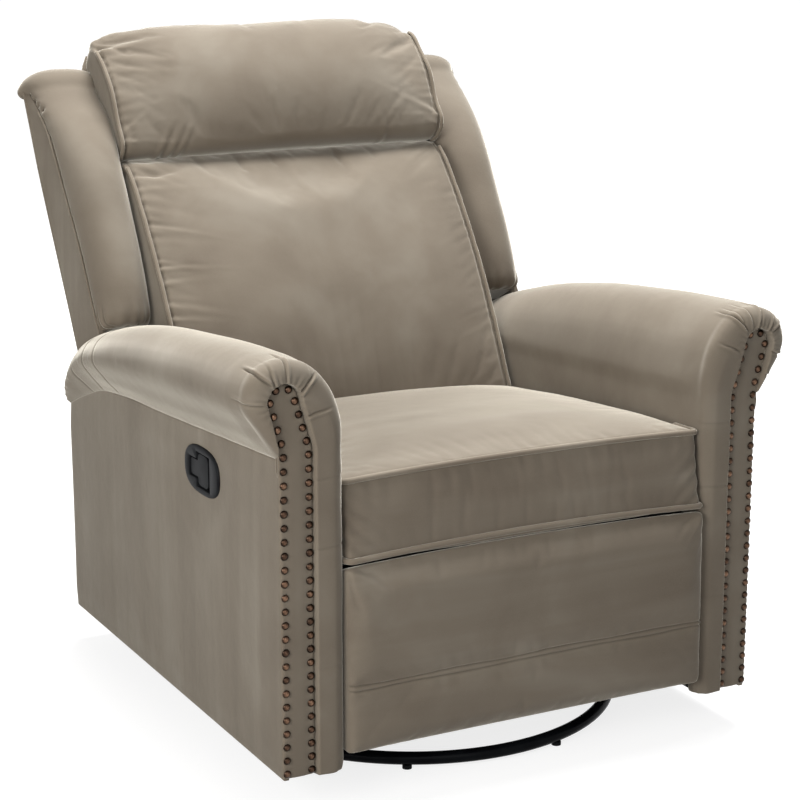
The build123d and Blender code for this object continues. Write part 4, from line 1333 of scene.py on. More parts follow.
@dataclass
class Seat:
    """The crowned seat cushion, which falls towards the back, with its piped front panel."""

    front: float = -467.0
    toe: float = 18.0
    depth: float = 525.0
    deck: float = 350.3
    half: float = 286.0
    pipe_radius: float = 4.2
    corner: float = 8.0
    arch: float = 8.0
    levels: tuple[Row, ...] = (
        (0.00, 468.5, 462.5), (0.06, 467.5, 461.0), (0.20, 469.0, 458.5), (0.39, 468.0, 452.0),
        (0.55, 463.0, 446.0), (0.68, 456.0, 439.0), (0.80, 448.0, 431.0), (0.90, 441.0, 424.5),
        (1.00, 436.0, 417.0),
    )

    def face_at(self, level: Points) -> Points:
        """Where the front panel lies at a share of its height."""
        return self.front - self.toe * (1 - np.clip(level, 0.0, 1.0))

    def top(self, x: Points, y: Points) -> Points:
        """Height of the top seam and face before stuffing.

        Args:
            x: Places across the seat.
            y: Places along the seat.

        Returns:
            The heights.
        """
        share = (y - self.front) / self.depth
        rows = np.array(self.levels)
        middle, sides = (np.interp(share, rows[:, 0], rows[:, k]) for k in (1, 2))
        return sides + (middle - sides) * (1 - np.clip(np.abs(x) / self.half, 0.0, 1.0) ** 2.4)

    def plan(self, inset: float, level: float = 1.0) -> Points:
        """Plan outline of the cushion: square behind, a little rounded at the two front corners.

        Args:
            inset: How far it is drawn in.
            level: Share of the cushion's height.

        Returns:
            Points (x, y).
        """
        half, front = self.half - inset, float(self.face_at(np.array(level))) + inset
        rear, r = self.front + self.depth - inset, self.corner
        turn = np.linspace(0.0, math.pi / 2, 9)
        right = [(-half + r - r * math.sin(t), front + r - r * math.cos(t)) for t in turn]
        left = [(half - r + r * math.cos(t), front + r - r * math.sin(t)) for t in turn]
        return ring_through([(half, rear), *left, *right, (-half, rear)], 400)

    def rim(self, level: float) -> Points:
        """The line of a piping: round the right front corner, along the front and round the left corner.

        Args:
            level: 0 for the lower piping, 1 for the upper one.

        Returns:
            The points of the line.
        """
        ring = self.plan(0.0, level)
        order = ring[np.argsort(np.arctan2(ring[:, 0], self.front + self.depth * 0.75 - ring[:, 1]))]
        path = order[order[:, 1] < self.front + 60.0]
        low = self.deck + 3.8 + self.arch * (1 - (path[:, 0] / self.half) ** 2)
        z = self.top(path[:, 0], path[:, 1]) - 2.0 if level > 0.5 else low
        return smooth_line(rows_of(path[:, 0], path[:, 1], z)[::2], 300)

    def solid(self) -> Solid:
        """The block of the cushion with its crowned top.

        Returns:
            Its points and faces.
        """
        loops = []
        for level, inset in ((0.0, 4.0), (0.03, 0.0), (0.35, 0.5), (0.65, 0.5), (0.97, 0.0)):
            x, y = self.plan(inset, level).T
            loops.append(rows_of(x, y, self.deck + level * (self.top(x, y) - self.deck)))
        for inset in (3.0, 12.0, 30.0, 70.0, 130.0, 200.0, 250.0):
            x, y = self.plan(inset).T
            loops.append(rows_of(x, y, self.top(x, y) + min(3.0, inset / 6)))
        return loft(loops)

    def held(self, points: Points) -> Points:
        """Where the cover is sewn down: at the pipings, underneath, behind and along the arms.

        Args:
            points: Points of the cover.

        Returns:
            How firmly each is held, up to 1.
        """
        x, y, z = points.T
        border = (np.abs(x) > self.half - 9.0) | (y < self.front + 9.0)
        rim = bump_at(np.abs(z - self.top(x, y)), 0.0, 7.0) * border
        low = z < self.deck + 10.0
        behind = y > self.front + self.depth - 30.0
        sides = np.abs(x) > self.half - 4.0
        return np.maximum(rim, np.where(low | behind, 1.0, np.where(sides, 0.8, 0.0)))

    def height(self, points: Points) -> Points:
        """Pulls at the corners of the front, faint gathers behind the piping and the soft, sat-on top.

        Args:
            points: Points of the cover.

        Returns:
            How far each is raised.
        """
        x, y, z = points.T
        face = 1 - ease_in(y, self.front + 2.0, self.front + 16.0)
        corner = ease_in(np.abs(x), self.half - 66.0, self.half - 8.0) * face
        pull = np.sin((z - 0.7 * np.abs(x)) * 0.24) * corner * (0.9 - ease_in(z, 400.0, 450.0) * 0.5)
        above = ease_in(z, self.deck + 60.0, self.deck + 100.0)
        soft = above * 1.5 * waver(points, 190.0, 21) + face * 1.0 * waver(points, 120.0, 22)
        behind = above * (1 - ease_in(y, self.front + 6.0, self.front + 44.0))
        return soft + 1.1 * pull + 0.4 * behind * np.sin(x * 0.16 + np.sin(x * 0.05) * 2)

    def build(self, wardrobe: Wardrobe) -> None:
        """Makes the stuffed cushion and its two pipings.

        Args:
            wardrobe: Gives the pieces their finishes.
        """
        wide = self.half + 1.0
        piece = cushion("seat_cover", self.solid(), self.held, 22.0, 0.004,
                        (-wide, -FREE, self.deck), (wide, FREE, FREE))
        push(piece, self.height)
        wardrobe.dress(piece, SEAT_VELVET, "chassis", "seat_cushion")
        for level, word in ((1.0, "top"), (0.0, "low")):
            cord = make_piece(f"seat_piping_{word}", [pipe(self.rim(level), self.pipe_radius)])
            wardrobe.dress(cord, SOFT_VELVET, "chassis")


@dataclass
class Footrest:
    """The padded front of the footrest, with the narrow sewn band across it."""

    front: float = -501.0
    thick: float = 48.7
    half: float = 288.4
    low: float = 80.0
    high: float = 348.0
    arch: float = 6.0
    fall: float = 10.0
    seam: float = 178.0
    band: float = 6.5
    swell: float = 7.0

    def seam_line(self, x: Points) -> Points:
        """Height of the middle of the band, which wavers a little."""
        return self.seam + 1.0 * np.sin(x * 0.011 + 0.6) + 0.5 * np.sin(x * 0.031)

    def solid(self) -> Solid:
        """The pad before stuffing, with rounded edges.

        Returns:
            Its points and faces.
        """
        loops = []
        back = self.front + self.thick
        right = (-1.0, -0.994, -0.985, -0.9, -0.75, -0.5, -0.25)
        for share in (*right, 0.0, *[-side for side in reversed(right)]):
            turn = float(np.clip((abs(share) - 0.985) / 0.015, 0.0, 1.0))
            front = self.front + self.swell + 5.0 * turn**1.6
            high = self.high + self.arch * (1 - share**2)
            rows = [(back, self.low + 2.0), (back, high - 3.0 - self.fall), (front + 10.0, high - 1.0),
                    (front + 3.0, high - 4.5), (front, high - 12.0), (front, self.low + 10.0),
                    (front + 3.0, self.low + 2.5)]
            loops.append(rows_of(share * self.half, *ring_through(rows, 160).T))
        return loft(loops)

    def held(self, points: Points) -> Points:
        """Where the cover is held: along the sewn band and behind."""
        sewn = bump_at(points[:, 2], self.seam_line(points[:, 0]), 7.0) > 0.45
        return np.maximum(sewn, ease_in(points[:, 1], self.front + 14.0, self.front + 20.0))

    def at_band(self, points: Points) -> Points:
        """Where the band needs a finer mesh."""
        return (np.abs(points[:, 2] - self.seam) < 14.0) & (points[:, 1] < self.front + 14.0)

    def height(self, points: Points) -> Points:
        """The two stitched lines of the band, the puckers beside them and the soft top edge.

        Args:
            points: Points of the cover.

        Returns:
            How far each is raised.
        """
        x, y, z = points.T
        face = 1 - ease_in(y, self.front + 10.0, self.front + 18.0)
        off = z - self.seam_line(x)
        wide = self.band / 2 * (1 + 0.2 * np.sin(x * 0.04))
        lines = bump_at(off, wide, 1.5) + 0.9 * bump_at(off, -wide, 1.5)
        pucker = 0.45 * bump_at(np.abs(off), 10.0, 8.0) * np.sin(x * 0.13 + np.sin(x * 0.043) * 3)
        edge = ease_in(z, self.high - 40.0, self.high - 6.0) * np.sin(x * 0.05 + np.sin(x * 0.017) * 2)
        soft = pucker + 0.6 * edge + 1.0 * waver(points, 170.0, 31)
        return face * (0.9 * bump_at(off, 0.0, 2.2) - 2.6 * lines + soft)

    def build(self, wardrobe: Wardrobe) -> None:
        """Makes the stuffed pad with its band.

        Args:
            wardrobe: Gives the pieces their finishes.
        """
        piece = cushion("footrest_cover", self.solid(), self.held, 7.0, 0.003,
                        (-self.half, -FREE, -FREE), (self.half, self.front + self.thick, FREE))
        refine(piece, self.at_band)
        push(piece, self.height)
        wardrobe.dress(piece, SEAT_VELVET, "footrest", "footrest_pad")


@dataclass(frozen=True)
class Lean:
    """The lean of the back, about a datum behind the seat."""

    origin: tuple[float, float] = (178.0, 380.0)
    angle: float = 25.0

    def leant(self, points: Points) -> Points:
        """Leans points drawn upright about the datum."""
        c, s = math.cos(math.radians(self.angle)), math.sin(math.radians(self.angle))
        x, y, z = points.T
        return rows_of(x, self.origin[0] + y * c + z * s, self.origin[1] + z * c - y * s)

    def upright(self, points: Points) -> Points:
        """Brings leaning points back upright."""
        c, s = math.cos(math.radians(self.angle)), math.sin(math.radians(self.angle))
        x, y, z = points[:, 0], points[:, 1] - self.origin[0], points[:, 2] - self.origin[1]
        return rows_of(x, y * c - z * s, y * s + z * c)


LEAN = Lean()
ACROSS = (-1.0, -0.985, -0.94, -0.85, -0.65, -0.35, 0.0, 0.35, 0.65, 0.85, 0.94, 0.985, 1.0)


@dataclass(frozen=True)
class Tuck:
    """A small pucker that runs in from a piping and dies out."""

    side: int
    spot: float
    length: float
    width: float
    slant: float
    depth: float

    def height(self, x: Points, z: Points, half: float) -> Points:
        """How far the tuck raises points, or draws them in beside its ridge.

        Args:
            x: Places across the cushion.
            z: Heights.
            half: Half the cushion's width.

        Returns:
            The heights.
        """
        gap = half - self.side * x
        near = (gap < 150.0) & (gap > -5.0)
        d = gap[near]
        level = z[near] + self.slant * d
        beside = bump_at(level, self.spot + 1.8 * self.width, self.width)
        shape = bump_at(level, self.spot, self.width) - 0.75 * beside
        total = np.zeros(len(x))
        total[near] = self.depth * shape * np.exp(-d / self.length) * ease_in(d, 1.0, 9.0)
        return total

    @staticmethod
    def scattered(seed: int, spots: Points, stray: float, length: Row, width: Row, slant: Row,
                  depth: Row) -> list["Tuck"]:
        """Uneven puckers along both pipings of a cushion.

        Args:
            seed: Which unevenness it is.
            spots: About where they lie up the piping.
            stray: How far they stray from there.
            length: The shortest and the longest.
            width: The narrowest and the widest.
            slant: The least and the most slant.
            depth: The deepest on the right and on the left.

        Returns:
            The puckers of the right and then of the left piping.
        """
        rng = np.random.default_rng(seed)
        places = [(side, spot) for side in (-1, 1)
                  for spot in spots + rng.uniform(-stray, stray, len(spots))]
        return [Tuck(side, spot, rng.uniform(*length), rng.uniform(*width), rng.uniform(*slant),
                     rng.uniform(0.3, 1.0) * depth[side > 0]) for side, spot in places]


@dataclass
class Lumbar:
    """The tall lumbar cushion, piped down both edges."""

    half: float = 284.0
    shift: float = -4.0
    skew: float = 5.0
    low: float = -20.0
    high: float = 449.0
    swell: float = 15.0
    rear: float = -2.3
    pipe_radius: float = 3.1
    edge: tuple[Row, ...] = (
        (-20.0, -130.0), (98.0, -127.0), (150.0, -124.0), (208.0, -118.0), (275.0, -107.0), (324.0, -97.0),
        (357.0, -89.0), (390.0, -79.5), (412.0, -71.5), (430.0, -60.0), (441.0, -45.0), (449.0, -22.0),
    )
    curve: Points = field(init=False)

    def __post_init__(self) -> None:
        """Draws the edge smoothly up the cushion."""
        self.curve = smooth_line(self.edge, 200)

    def aside(self, x: Points) -> Points:
        """Places across as shares of half the width, from -1 to 1."""
        return np.clip((x - self.shift) / self.half, -1.0, 1.0)

    def face(self, z: Points, x: Points) -> Points:
        """How far forward the cushion's face lies before stuffing.

        Args:
            z: Heights.
            x: Places across.

        Returns:
            Places in front of the datum, negative.
        """
        side = self.aside(x)
        t = np.clip((z - self.low) / (self.high - self.low), 0.0, 1.0)
        swell = self.swell * (1 - np.abs(side) ** 2.6) * np.sin(np.pi * t) ** 0.6
        return np.interp(z, self.curve[:, 0], self.curve[:, 1]) - self.skew * side - swell

    def solid(self) -> Solid:
        """The cushion before stuffing.

        Returns:
            Its points and faces.
        """
        loops = []
        z = np.linspace(self.low, self.high, 80)
        for share in ACROSS:
            x = np.full(len(z), self.shift + share * self.half)
            behind = [(self.rear, self.high), (self.rear, self.low)]
            ring = ring_through(np.vstack([rows_of(self.face(z, x), z), behind]), 200)
            loops.append(LEAN.leant(rows_of(x[0], *ring.T)))
        return loft(loops)

    def held(self, points: Points) -> Points:
        """Where the cover is sewn down: at the pipings, behind and at both ends."""
        x, y, z = LEAN.upright(points).T
        ends = (z < self.low + 14.0) | (z > self.high - 5.0)
        return np.where((np.abs(x - self.shift) > self.half - 8.0) | (y > -22.0) | ends, 1.0, 0.0)

    def tucks(self) -> list[Tuck]:
        """The puckers along both pipings, stronger on the right."""
        return Tuck.scattered(17, np.arange(8.0, 415.0, 21.0), 7.0, length=(18.0, 46.0), width=(3.5, 6.5),
                              slant=(0.02, 0.42), depth=(2.4, 0.7))

    def height(self, points: Points) -> Points:
        """Puckers at the pipings, the pinch at the right end of the crease and a soft face.

        Args:
            points: Points of the cover.

        Returns:
            How far each is raised.
        """
        x, y, z = LEAN.upright(points).T
        x = x - self.shift
        total = sum(tuck.height(x, z, self.half) for tuck in self.tucks())
        gap = np.abs(x + 0.86 * self.half)
        total += 4.0 * bump_at(z - 0.10 * gap, self.high - 26.0, 7.0) * bump_at(x, -0.86 * self.half, 34.0)
        total -= 4.5 * bump_at(z - 0.14 * gap, self.high - 43.0, 7.0) * bump_at(x, -0.84 * self.half, 38.0)
        crease = ease_in(z, self.high - 70.0, self.high - 10.0) * bump_at(np.abs(x), 190.0, 70.0)
        total += 0.6 * crease * np.sin(x * 0.065 + 1.3 * np.sin(x * 0.021))
        groove = bump_at(np.abs(x), self.half - 7.5, 2.6) * (y < -40.0)
        return (1 - ease_in(y, -34.0, -14.0)) * (total - 2.2 * groove + 1.6 * waver(points, 210.0, 41))

    def build(self, wardrobe: Wardrobe) -> None:
        """Makes the cushion, drawn in at its pipings and at the crease, and the pipings.

        Args:
            wardrobe: Gives the pieces their finishes.
        """
        piece = cushion("lumbar_cover", self.solid(), self.held, 24.0, 0.006,
                        (self.shift - self.half, -FREE, -FREE), (self.shift + self.half, FREE, FREE))
        push(piece, self.height)
        wardrobe.dress(piece, SOFT_VELVET, "back", "lumbar_cushion")
        for side in Side:
            z = np.linspace(self.low + 4.0, self.high - 12.0, 60)
            x = np.full(len(z), self.shift + side.value * (self.half - 2.5))
            line = rows_of(x, self.face(z, x) - 1.4 + 0.5 * np.sin(z * 0.11), z)
            cord = pipe(LEAN.leant(smooth_line(line[::3], 200)), self.pipe_radius)
            wardrobe.dress(make_piece(f"lumbar_piping_{side.word}", [cord]), SOFT_VELVET, "back")


@dataclass
class Pillow:
    """The head pillow, which folds over the top of the frame."""

    half: float = 286.0
    shift: float = -4.0
    skew: float = 14.0
    low: float = 446.0
    crest: float = 684.0
    shoulder: float = 37.0
    fronts: tuple[float, float, float] = (-76.0, -71.0, -60.0)
    swell: float = 24.0
    rear: float = -2.3
    wrap: float = 20.0
    post_top: float = 636.5
    panel: float = 37.0
    pipe_radius: float = 3.1
    chin_folds: tuple[Row, ...] = (
        (-222.0, -0.45, 1.8), (-203.0, -0.5, 1.3), (-188.0, -0.55, 1.2), (176.0, 0.3, 0.8),
    )

    def line(self, x: float) -> Points:
        """Side-view line of the pillow at x, from the crease up over the top to the rear.

        Args:
            x: Place across the pillow.

        Returns:
            Points (y, z), drawn upright.
        """
        side = min(1.0, max(-1.0, (x - self.shift) / self.half))
        t = abs(side)
        swell, turn, low = self.swell * (1 - t**2.6), self.skew * side, self.low
        chin, cheek, brow = (front - turn for front in self.fronts)
        crest = self.crest - self.shoulder * t**8
        return smooth_line([
            (-14.0, low + 3.0), (chin + 20.0, low - 2.0), (chin - 0.4 * swell, low + 9.0),
            (chin - 0.9 * swell, low + 50.0), (cheek - swell, low + 116.0),
            (brow - 0.6 * swell, crest - 54.0),
            (brow + 24.0 - 0.1 * swell, crest - 16.0), (-8.0, crest - 1.0), (20.0, crest - 7.0),
            (self.panel, crest - 24.0),
        ], 90)

    def solid(self) -> Solid:
        """The pillow before stuffing.

        Returns:
            Its points and faces.
        """
        loops = []
        ledge = self.post_top - 16.0
        for share in sorted((*ACROSS, -0.9, -0.5, 0.5, 0.9)):
            x = self.shift + share * self.half
            rear = self.rear + self.wrap * (abs(share) > 0.98)
            closing = [(self.panel, ledge), (rear, ledge), (rear, self.low + 3.0)]
            ring = ring_through(np.vstack([self.line(x), closing]), 240)
            loops.append(LEAN.leant(rows_of(x, *ring.T)))
        return loft(loops)

    def held(self, points: Points) -> Points:
        """Where the cover is sewn down: at the pipings, at the crease and behind.

        Args:
            points: Points of the cover.

        Returns:
            One where it is held, else nought.
        """
        x, y, z = LEAN.upright(points).T
        inside = (y > -20.0) & (z < self.post_top + 3.0)
        ends = np.abs(x - self.shift) > self.half - 8.0
        return np.where(ends | inside | (z < self.low + 12.0) | (y > 30.0), 1.0, 0.0)

    def tucks(self) -> list[Tuck]:
        """The puckers along both pipings, with the deep folds at the corners."""
        fine = Tuck.scattered(29, np.arange(470.0, 640.0, 16.0), 5.0, length=(20.0, 46.0), width=(3.5, 6.0),
                              slant=(-0.15, 0.2), depth=(1.7, 0.8))
        return fine + [Tuck(-1, 652.0, 30.0, 6.5, -0.42, 8.0), Tuck(-1, 628.0, 34.0, 6.5, -0.10, 8.4),
                       Tuck(1, 630.0, 40.0, 6.0, -0.25, 2.2), Tuck(1, 470.0, 36.0, 6.0, -0.5, 2.8),
                       Tuck(-1, 474.0, 24.0, 5.0, -0.7, 1.4)]

    def height(self, points: Points) -> Points:
        """Puckers, the slanting folds above the crease and a soft face.

        Args:
            points: Points of the cover.

        Returns:
            How far each is raised.
        """
        x, y, z = LEAN.upright(points).T
        x = x - self.shift
        total = sum(tuck.height(x, z, self.half) for tuck in self.tucks())
        under = 1 - ease_in(z, self.low + 8.0, self.low + 52.0)
        for spot, slant, depth in self.chin_folds:
            place = x + slant * (z - self.low)
            total += depth * under * (bump_at(place, spot, 5.5) - 0.8 * bump_at(place, spot + 9.0, 5.0))
        total -= 2.2 * bump_at(np.abs(x), self.half - 7.5, 2.6) * (y < -26.0)
        face = 1 - ease_in(y, -6.0, 22.0) * (z < self.post_top)
        return face * (total + 1.4 * waver(points, 190.0, 51))

    def build(self, wardrobe: Wardrobe) -> None:
        """Makes the pillow, gathered at its pipings and pinched at the crease, and the pipings.

        Args:
            wardrobe: Gives the pieces their finishes.
        """
        piece = cushion("pillow_cover", self.solid(), self.held, 22.0, 0.006,
                        (self.shift - self.half, -FREE, -FREE), (self.shift + self.half, FREE, FREE))
        push(piece, self.height)
        wardrobe.dress(piece, SOFT_VELVET, "back", "head_pillow")
        for side in Side:
            x = self.shift + side.value * (self.half - 2.5)
            flat = self.line(x)[4:70]
            away = rows_of(np.gradient(flat[:, 1]), -np.gradient(flat[:, 0]))
            flat = flat - 1.0 * away / np.linalg.norm(away, axis=1, keepdims=True)
            flat[:, 0] += (2.2 if side is Side.LEFT else 0.7) * np.sin(flat[:, 1] * 0.075 + 1.0)
            line = rows_of(x, *flat.T)
            cord = pipe(LEAN.leant(smooth_line(line[::3], 200)), self.pipe_radius)
            wardrobe.dress(make_piece(f"pillow_piping_{side.word}", [cord]), SOFT_VELVET, "back")


@dataclass
class Wing:
    """One wing of the back: the bolster, which curls over the top, its welt and the board behind it."""

    side: Side
    low: float = 164.0
    board_low: float = 148.0
    inner: float = 287.5
    nose_at: float = 338.0
    cheek: tuple[float, float] = (50.0, 12.0)
    curl_inner: float = 276.0
    rail: float = 7.0
    panel: float = 37.5
    fold: float = 580.8
    board: float = 376.0
    rear: float = 43.0
    hub: tuple[float, float] = (42.0, 588.0)
    welt: float = 1.6
    stations: tuple[Row, ...] = (
        (140.0, 378.6, -58.0, -82.0), (164.0, 379.2, -55.0, -86.0), (180.0, 379.5, -53.0, -91.0),
        (204.0, 380.0, -50.5, -95.0), (267.0, 381.0, -46.0, -97.0), (343.0, 382.3, -36.0, -91.0),
        (414.0, 384.8, -26.5, -84.0), (461.0, 386.5, -19.8, -70.0), (517.0, 387.5, -4.6, -43.0),
        (553.0, 390.0, 13.3, -20.0), (588.0, 392.5, 34.0, 0.0), (600.0, 393.0, 42.0, 8.0),
    )
    curl: tuple[Row, ...] = (
        (-6.0, 42.0, 394.0), (30.0, 42.0, 397.0), (60.0, 41.0, 401.0), (90.0, 40.0, 405.5),
        (120.0, 39.0, 408.5), (150.0, 36.0, 408.5), (180.0, 30.0, 405.0), (204.0, 22.0, 400.0),
    )
    outside: tuple[Row, ...] = (
        (140.0, 386.2), (218.0, 388.6), (355.0, 394.1), (464.0, 398.2), (620.0, 400.5),
    )
    holes: tuple[Row, ...] = ((30.0, 583.0), (20.0, 571.0), (9.0, 559.0), (-1.0, 547.0))
    toe: tuple[Row, ...] = ((0.0, 11.0), (1.5, 7.0), (4.0, 3.5), (8.0, 1.2), (14.0, 0.0))
    curve: Points = field(init=False)

    def __post_init__(self) -> None:
        """Draws the stations smoothly up the wing."""
        self.curve = smooth_line(self.stations, 300)

    def at(self, z: Points) -> tuple[Points, ...]:
        """Where the seam lies across and along, and where the nose lies, at heights up the wing."""
        return tuple(np.interp(z, self.curve[:, 0], self.curve[:, k]) for k in (1, 2, 3))

    def far_out(self, z: Points) -> Points:
        """How far out the rear edge of the board lies, which flares upwards."""
        return np.interp(z, *np.array(self.outside).T)

    def loop(self, z: float, back: float, draw: float) -> Points:
        """Outline of the bolster at a height: round its nose from the seam to the cheek, and closed behind.

        Args:
            z: The height, drawn upright.
            back: Where the bolster ends behind.
            draw: How far the outline is drawn in.

        Returns:
            The leaning points of the outline.
        """
        across, seam, nose = (float(value) for value in self.at(np.array(z)))
        across, nose, inner = across - draw, nose + draw, self.inner + draw
        back = max(back, seam + 3.0)
        deep = float(np.interp(z, (420.0, 515.0), self.cheek))
        t = np.linspace(0.0, math.pi / 2, 16)
        brow = rows_of(self.nose_at + (across - self.nose_at) * np.cos(t) ** 0.94,
                       seam + (nose - seam) * np.sin(t) ** 0.94)
        cheek = rows_of(self.nose_at - (self.nose_at - inner) * np.sin(t), nose + deep * (1 - np.cos(t)))
        edge = self.board - 0.5
        ends = [(inner, back), (edge, back), (edge, seam + 2.0), (across - 3.0, seam + 2.0)]
        ring = ring_through(np.vstack([brow, cheek[1:], ends]), 180)
        return LEAN.leant(rows_of(*ring.T, z))

    def curl_loop(self, turn: float) -> Points:
        """Outline of the bolster's top where it curls over the board.

        Args:
            turn: The angle round the hub in degrees, from straight ahead over the top to behind.

        Returns:
            The leaning points of the outline.
        """
        rows = np.array(self.curl)
        radius, across = (float(np.interp(turn, rows[:, 0], rows[:, k])) for k in (1, 2))
        middle, half = (across + self.curl_inner) / 2, (across - self.curl_inner) / 2
        t = np.linspace(0.0, math.pi, 61)
        wide = np.sign(np.cos(t)) * np.abs(np.cos(t)) ** 0.86
        reach = radius * np.sin(t) ** np.where(t < math.pi / 2, 0.80, 0.34)
        way = math.radians(turn)
        y, z = self.hub[0] - reach * math.cos(way), self.hub[1] + reach * math.sin(way)
        return LEAN.leant(rows_of(middle + half * wide, y, z))

    def solids(self) -> list[Solid]:
        """The bolster in front of the rail, its part in front of the panel, and the curl at its top.

        Returns:
            The three solids of the left wing.
        """
        foot = [self.loop(self.low + rise, self.rail, draw) for rise, draw in self.toe]
        body = [self.loop(z, self.rail, 0.0) for z in np.linspace(self.low + 22.0, self.fold + 3.0, 44)]
        head = [self.loop(z, self.panel, 0.0) for z in np.linspace(self.fold, self.hub[1] + 4.0, 4)]
        curl = [self.curl_loop(turn) for turn in np.linspace(self.curl[0][0], self.curl[-1][0], 44)]
        return [loft(foot + body), loft(head), loft(curl)]

    def height(self, points: Points) -> Points:
        """The stitches that pull at the top of the seam, faint gathers along it and the tucks at the foot.

        Args:
            points: Points of the bolster.

        Returns:
            How far each is raised.
        """
        x, y, z = LEAN.upright(points).T
        seam = self.at(z)[1]
        outside = ease_in(np.abs(x), 366.0, 380.0) * (z < self.hub[1] + 6.0)
        top = ease_in(z, 480.0, 560.0)
        total = 0.5 * top * outside * bump_at(y, seam - 8.0, 11.0) * np.sin(z * 0.26 + np.sin(z * 0.09))
        for along, level in self.holes:
            total -= 4.2 * np.exp(-(((y - along) / 3.4) ** 2 + ((z - level) / 3.0) ** 2)) * outside
        foot = 1 - ease_in(z, self.low + 6.0, self.low + 44.0)
        slant = y + 0.25 * (z - self.low)
        tucks = fold(slant, seam - 14.0, 3.6) + 0.7 * fold(slant, seam - 2.0, 3.2)
        total += 1.9 * foot * ease_in(np.abs(x), 352.0, 372.0) * tucks
        total += 0.9 * foot * np.sin(x * 0.32 + np.sin(x * 0.1)) * (y < seam - 12.0)
        return total + 1.2 * waver(points, 170.0, 61 + self.side.value)

    def board_place(self, u: Points, v: Points) -> Points:
        """Points on the outside of the board for shares back from the seam and up.

        Args:
            u: Shares back from the seam.
            v: Shares up the board.

        Returns:
            The leaning points.
        """
        z = self.board_low + v * (self.hub[1] + 6.0 - self.board_low)
        across, seam, _ = self.at(z)
        return LEAN.leant(rows_of(across + u * (self.far_out(z) - across), seam + u * (self.rear - seam), z))

    def board_height(self, points: Points) -> Points:
        """A slight unevenness of the board's cover."""
        return 0.7 * waver(points, 150.0, 71) * (np.abs(points[:, 0]) > self.board + 2.0)

    def build(self, wardrobe: Wardrobe) -> None:
        """Makes the bolster with its stitches, the welt of its seam and the covered board.

        Args:
            wardrobe: Gives the pieces their finishes.
        """
        word = self.side.word
        piece = make_piece(f"wing_cover_{word}", self.solids(), self.side)
        fuse(piece, 4.5, 5)
        apply_modifier(piece, "SUBSURF", levels=1)
        push(piece, self.height)
        wardrobe.dress(piece, SOFT_VELVET, "back", f"wing_pad_{word}")
        z = np.linspace(self.low - 4.0, 552.0, 80)
        across, seam, _ = self.at(z)
        line = rows_of(across + 0.7, seam + 0.6 + 0.4 * np.sin(z * 0.3), z)
        welt = pipe(LEAN.leant(smooth_line(line[::2], 220)), self.welt, 10)
        wardrobe.dress(make_piece(f"wing_welt_{word}", [welt], self.side), SOFT_VELVET, "back")
        panel = soft_panel(self.board_place, (1.0, 0.0, 0.0), (90.0, 440.0), 11.0, 2.0, 5.0)
        board = make_piece(f"wing_side_{word}", [panel], self.side)
        push(board, self.board_height)
        wardrobe.dress(board, SIDE_VELVET, "back", f"wing_board_{word}")


@dataclass
class OutsideBack:
    """The covered outside of the back: wide behind the wings, narrow between the arms."""

    wing: Wing
    half: float = 400.0
    rear: float = 43.5
    thick: float = 5.5
    low: float = 160.0
    high: float = 650.0
    shoulder: float = 602.0
    tail_half: float = 266.5
    tail_low: float = 10.0

    def place(self, u: Points, v: Points) -> Points:
        """Points on the wide part for shares across and up, lower where the wings curl over it.

        Args:
            u: Shares across the panel.
            v: Shares up the panel.

        Returns:
            The leaning points.
        """
        inner = self.wing.inner
        across = (1 - 2 * u) * self.half
        top = self.high - (self.high - self.shoulder) * ease_in(np.abs(across), inner - 4.0, inner + 14.0)
        z = self.low + v * (top - self.low)
        return LEAN.leant(rows_of(across * self.wing.far_out(z) / self.half, self.rear, z))

    def tail_place(self, u: Points, v: Points) -> Points:
        """Points on the narrow part for shares across and up."""
        z = self.tail_low + v * (self.low + 2.0 - self.tail_low)
        return LEAN.leant(rows_of(self.tail_half * (1 - 2 * u), self.rear, z))

    @property
    def out(self) -> Points:
        """The outward direction, straight back."""
        tip, foot = LEAN.leant(np.array([[0.0, 1.0, 0.0], [0.0, 0.0, 0.0]]))
        return tip - foot

    def height(self, points: Points) -> Points:
        """The panel's gentle swell.

        Args:
            points: Points of the panel.

        Returns:
            How far each is raised.
        """
        x, y, z = LEAN.upright(points).T
        skin = ease_in(y, self.rear - 2.0, self.rear - 0.2)
        centre = (1 - (x / self.half) ** 2) * ease_in(z, 165.0, 260.0) * ease_in(self.high - z, 0.0, 120.0)
        border = ease_in(386.0 - np.abs(x), 0.0, 40.0)
        return skin * (2.2 * np.clip(centre, 0, 1) + 1.1 * waver(points, 230.0, 81) * border)

    def build(self, wardrobe: Wardrobe) -> None:
        """Makes the panel and dresses the frame that it is nailed to.

        Args:
            wardrobe: Gives the pieces their finishes.
        """
        wide, tail = (790.0, self.high - self.low), (2 * self.tail_half, self.low - self.tail_low)
        piece = make_piece("back_outside", [
            soft_panel(place, self.out, lengths, self.thick, 3.0, 8.0)
            for place, lengths in ((self.place, wide), (self.tail_place, tail))
        ])
        push(piece, self.height)
        wardrobe.dress(piece, SIDE_VELVET, "back", "back_panel")
        # The back frame is coated near black as painted shade where gaps show it
        wardrobe.coat(GapShadeLining(), "back_frame")
        wardrobe.coat(LINKAGE_PAINT, "back_bracket_left", "back_bracket_right")


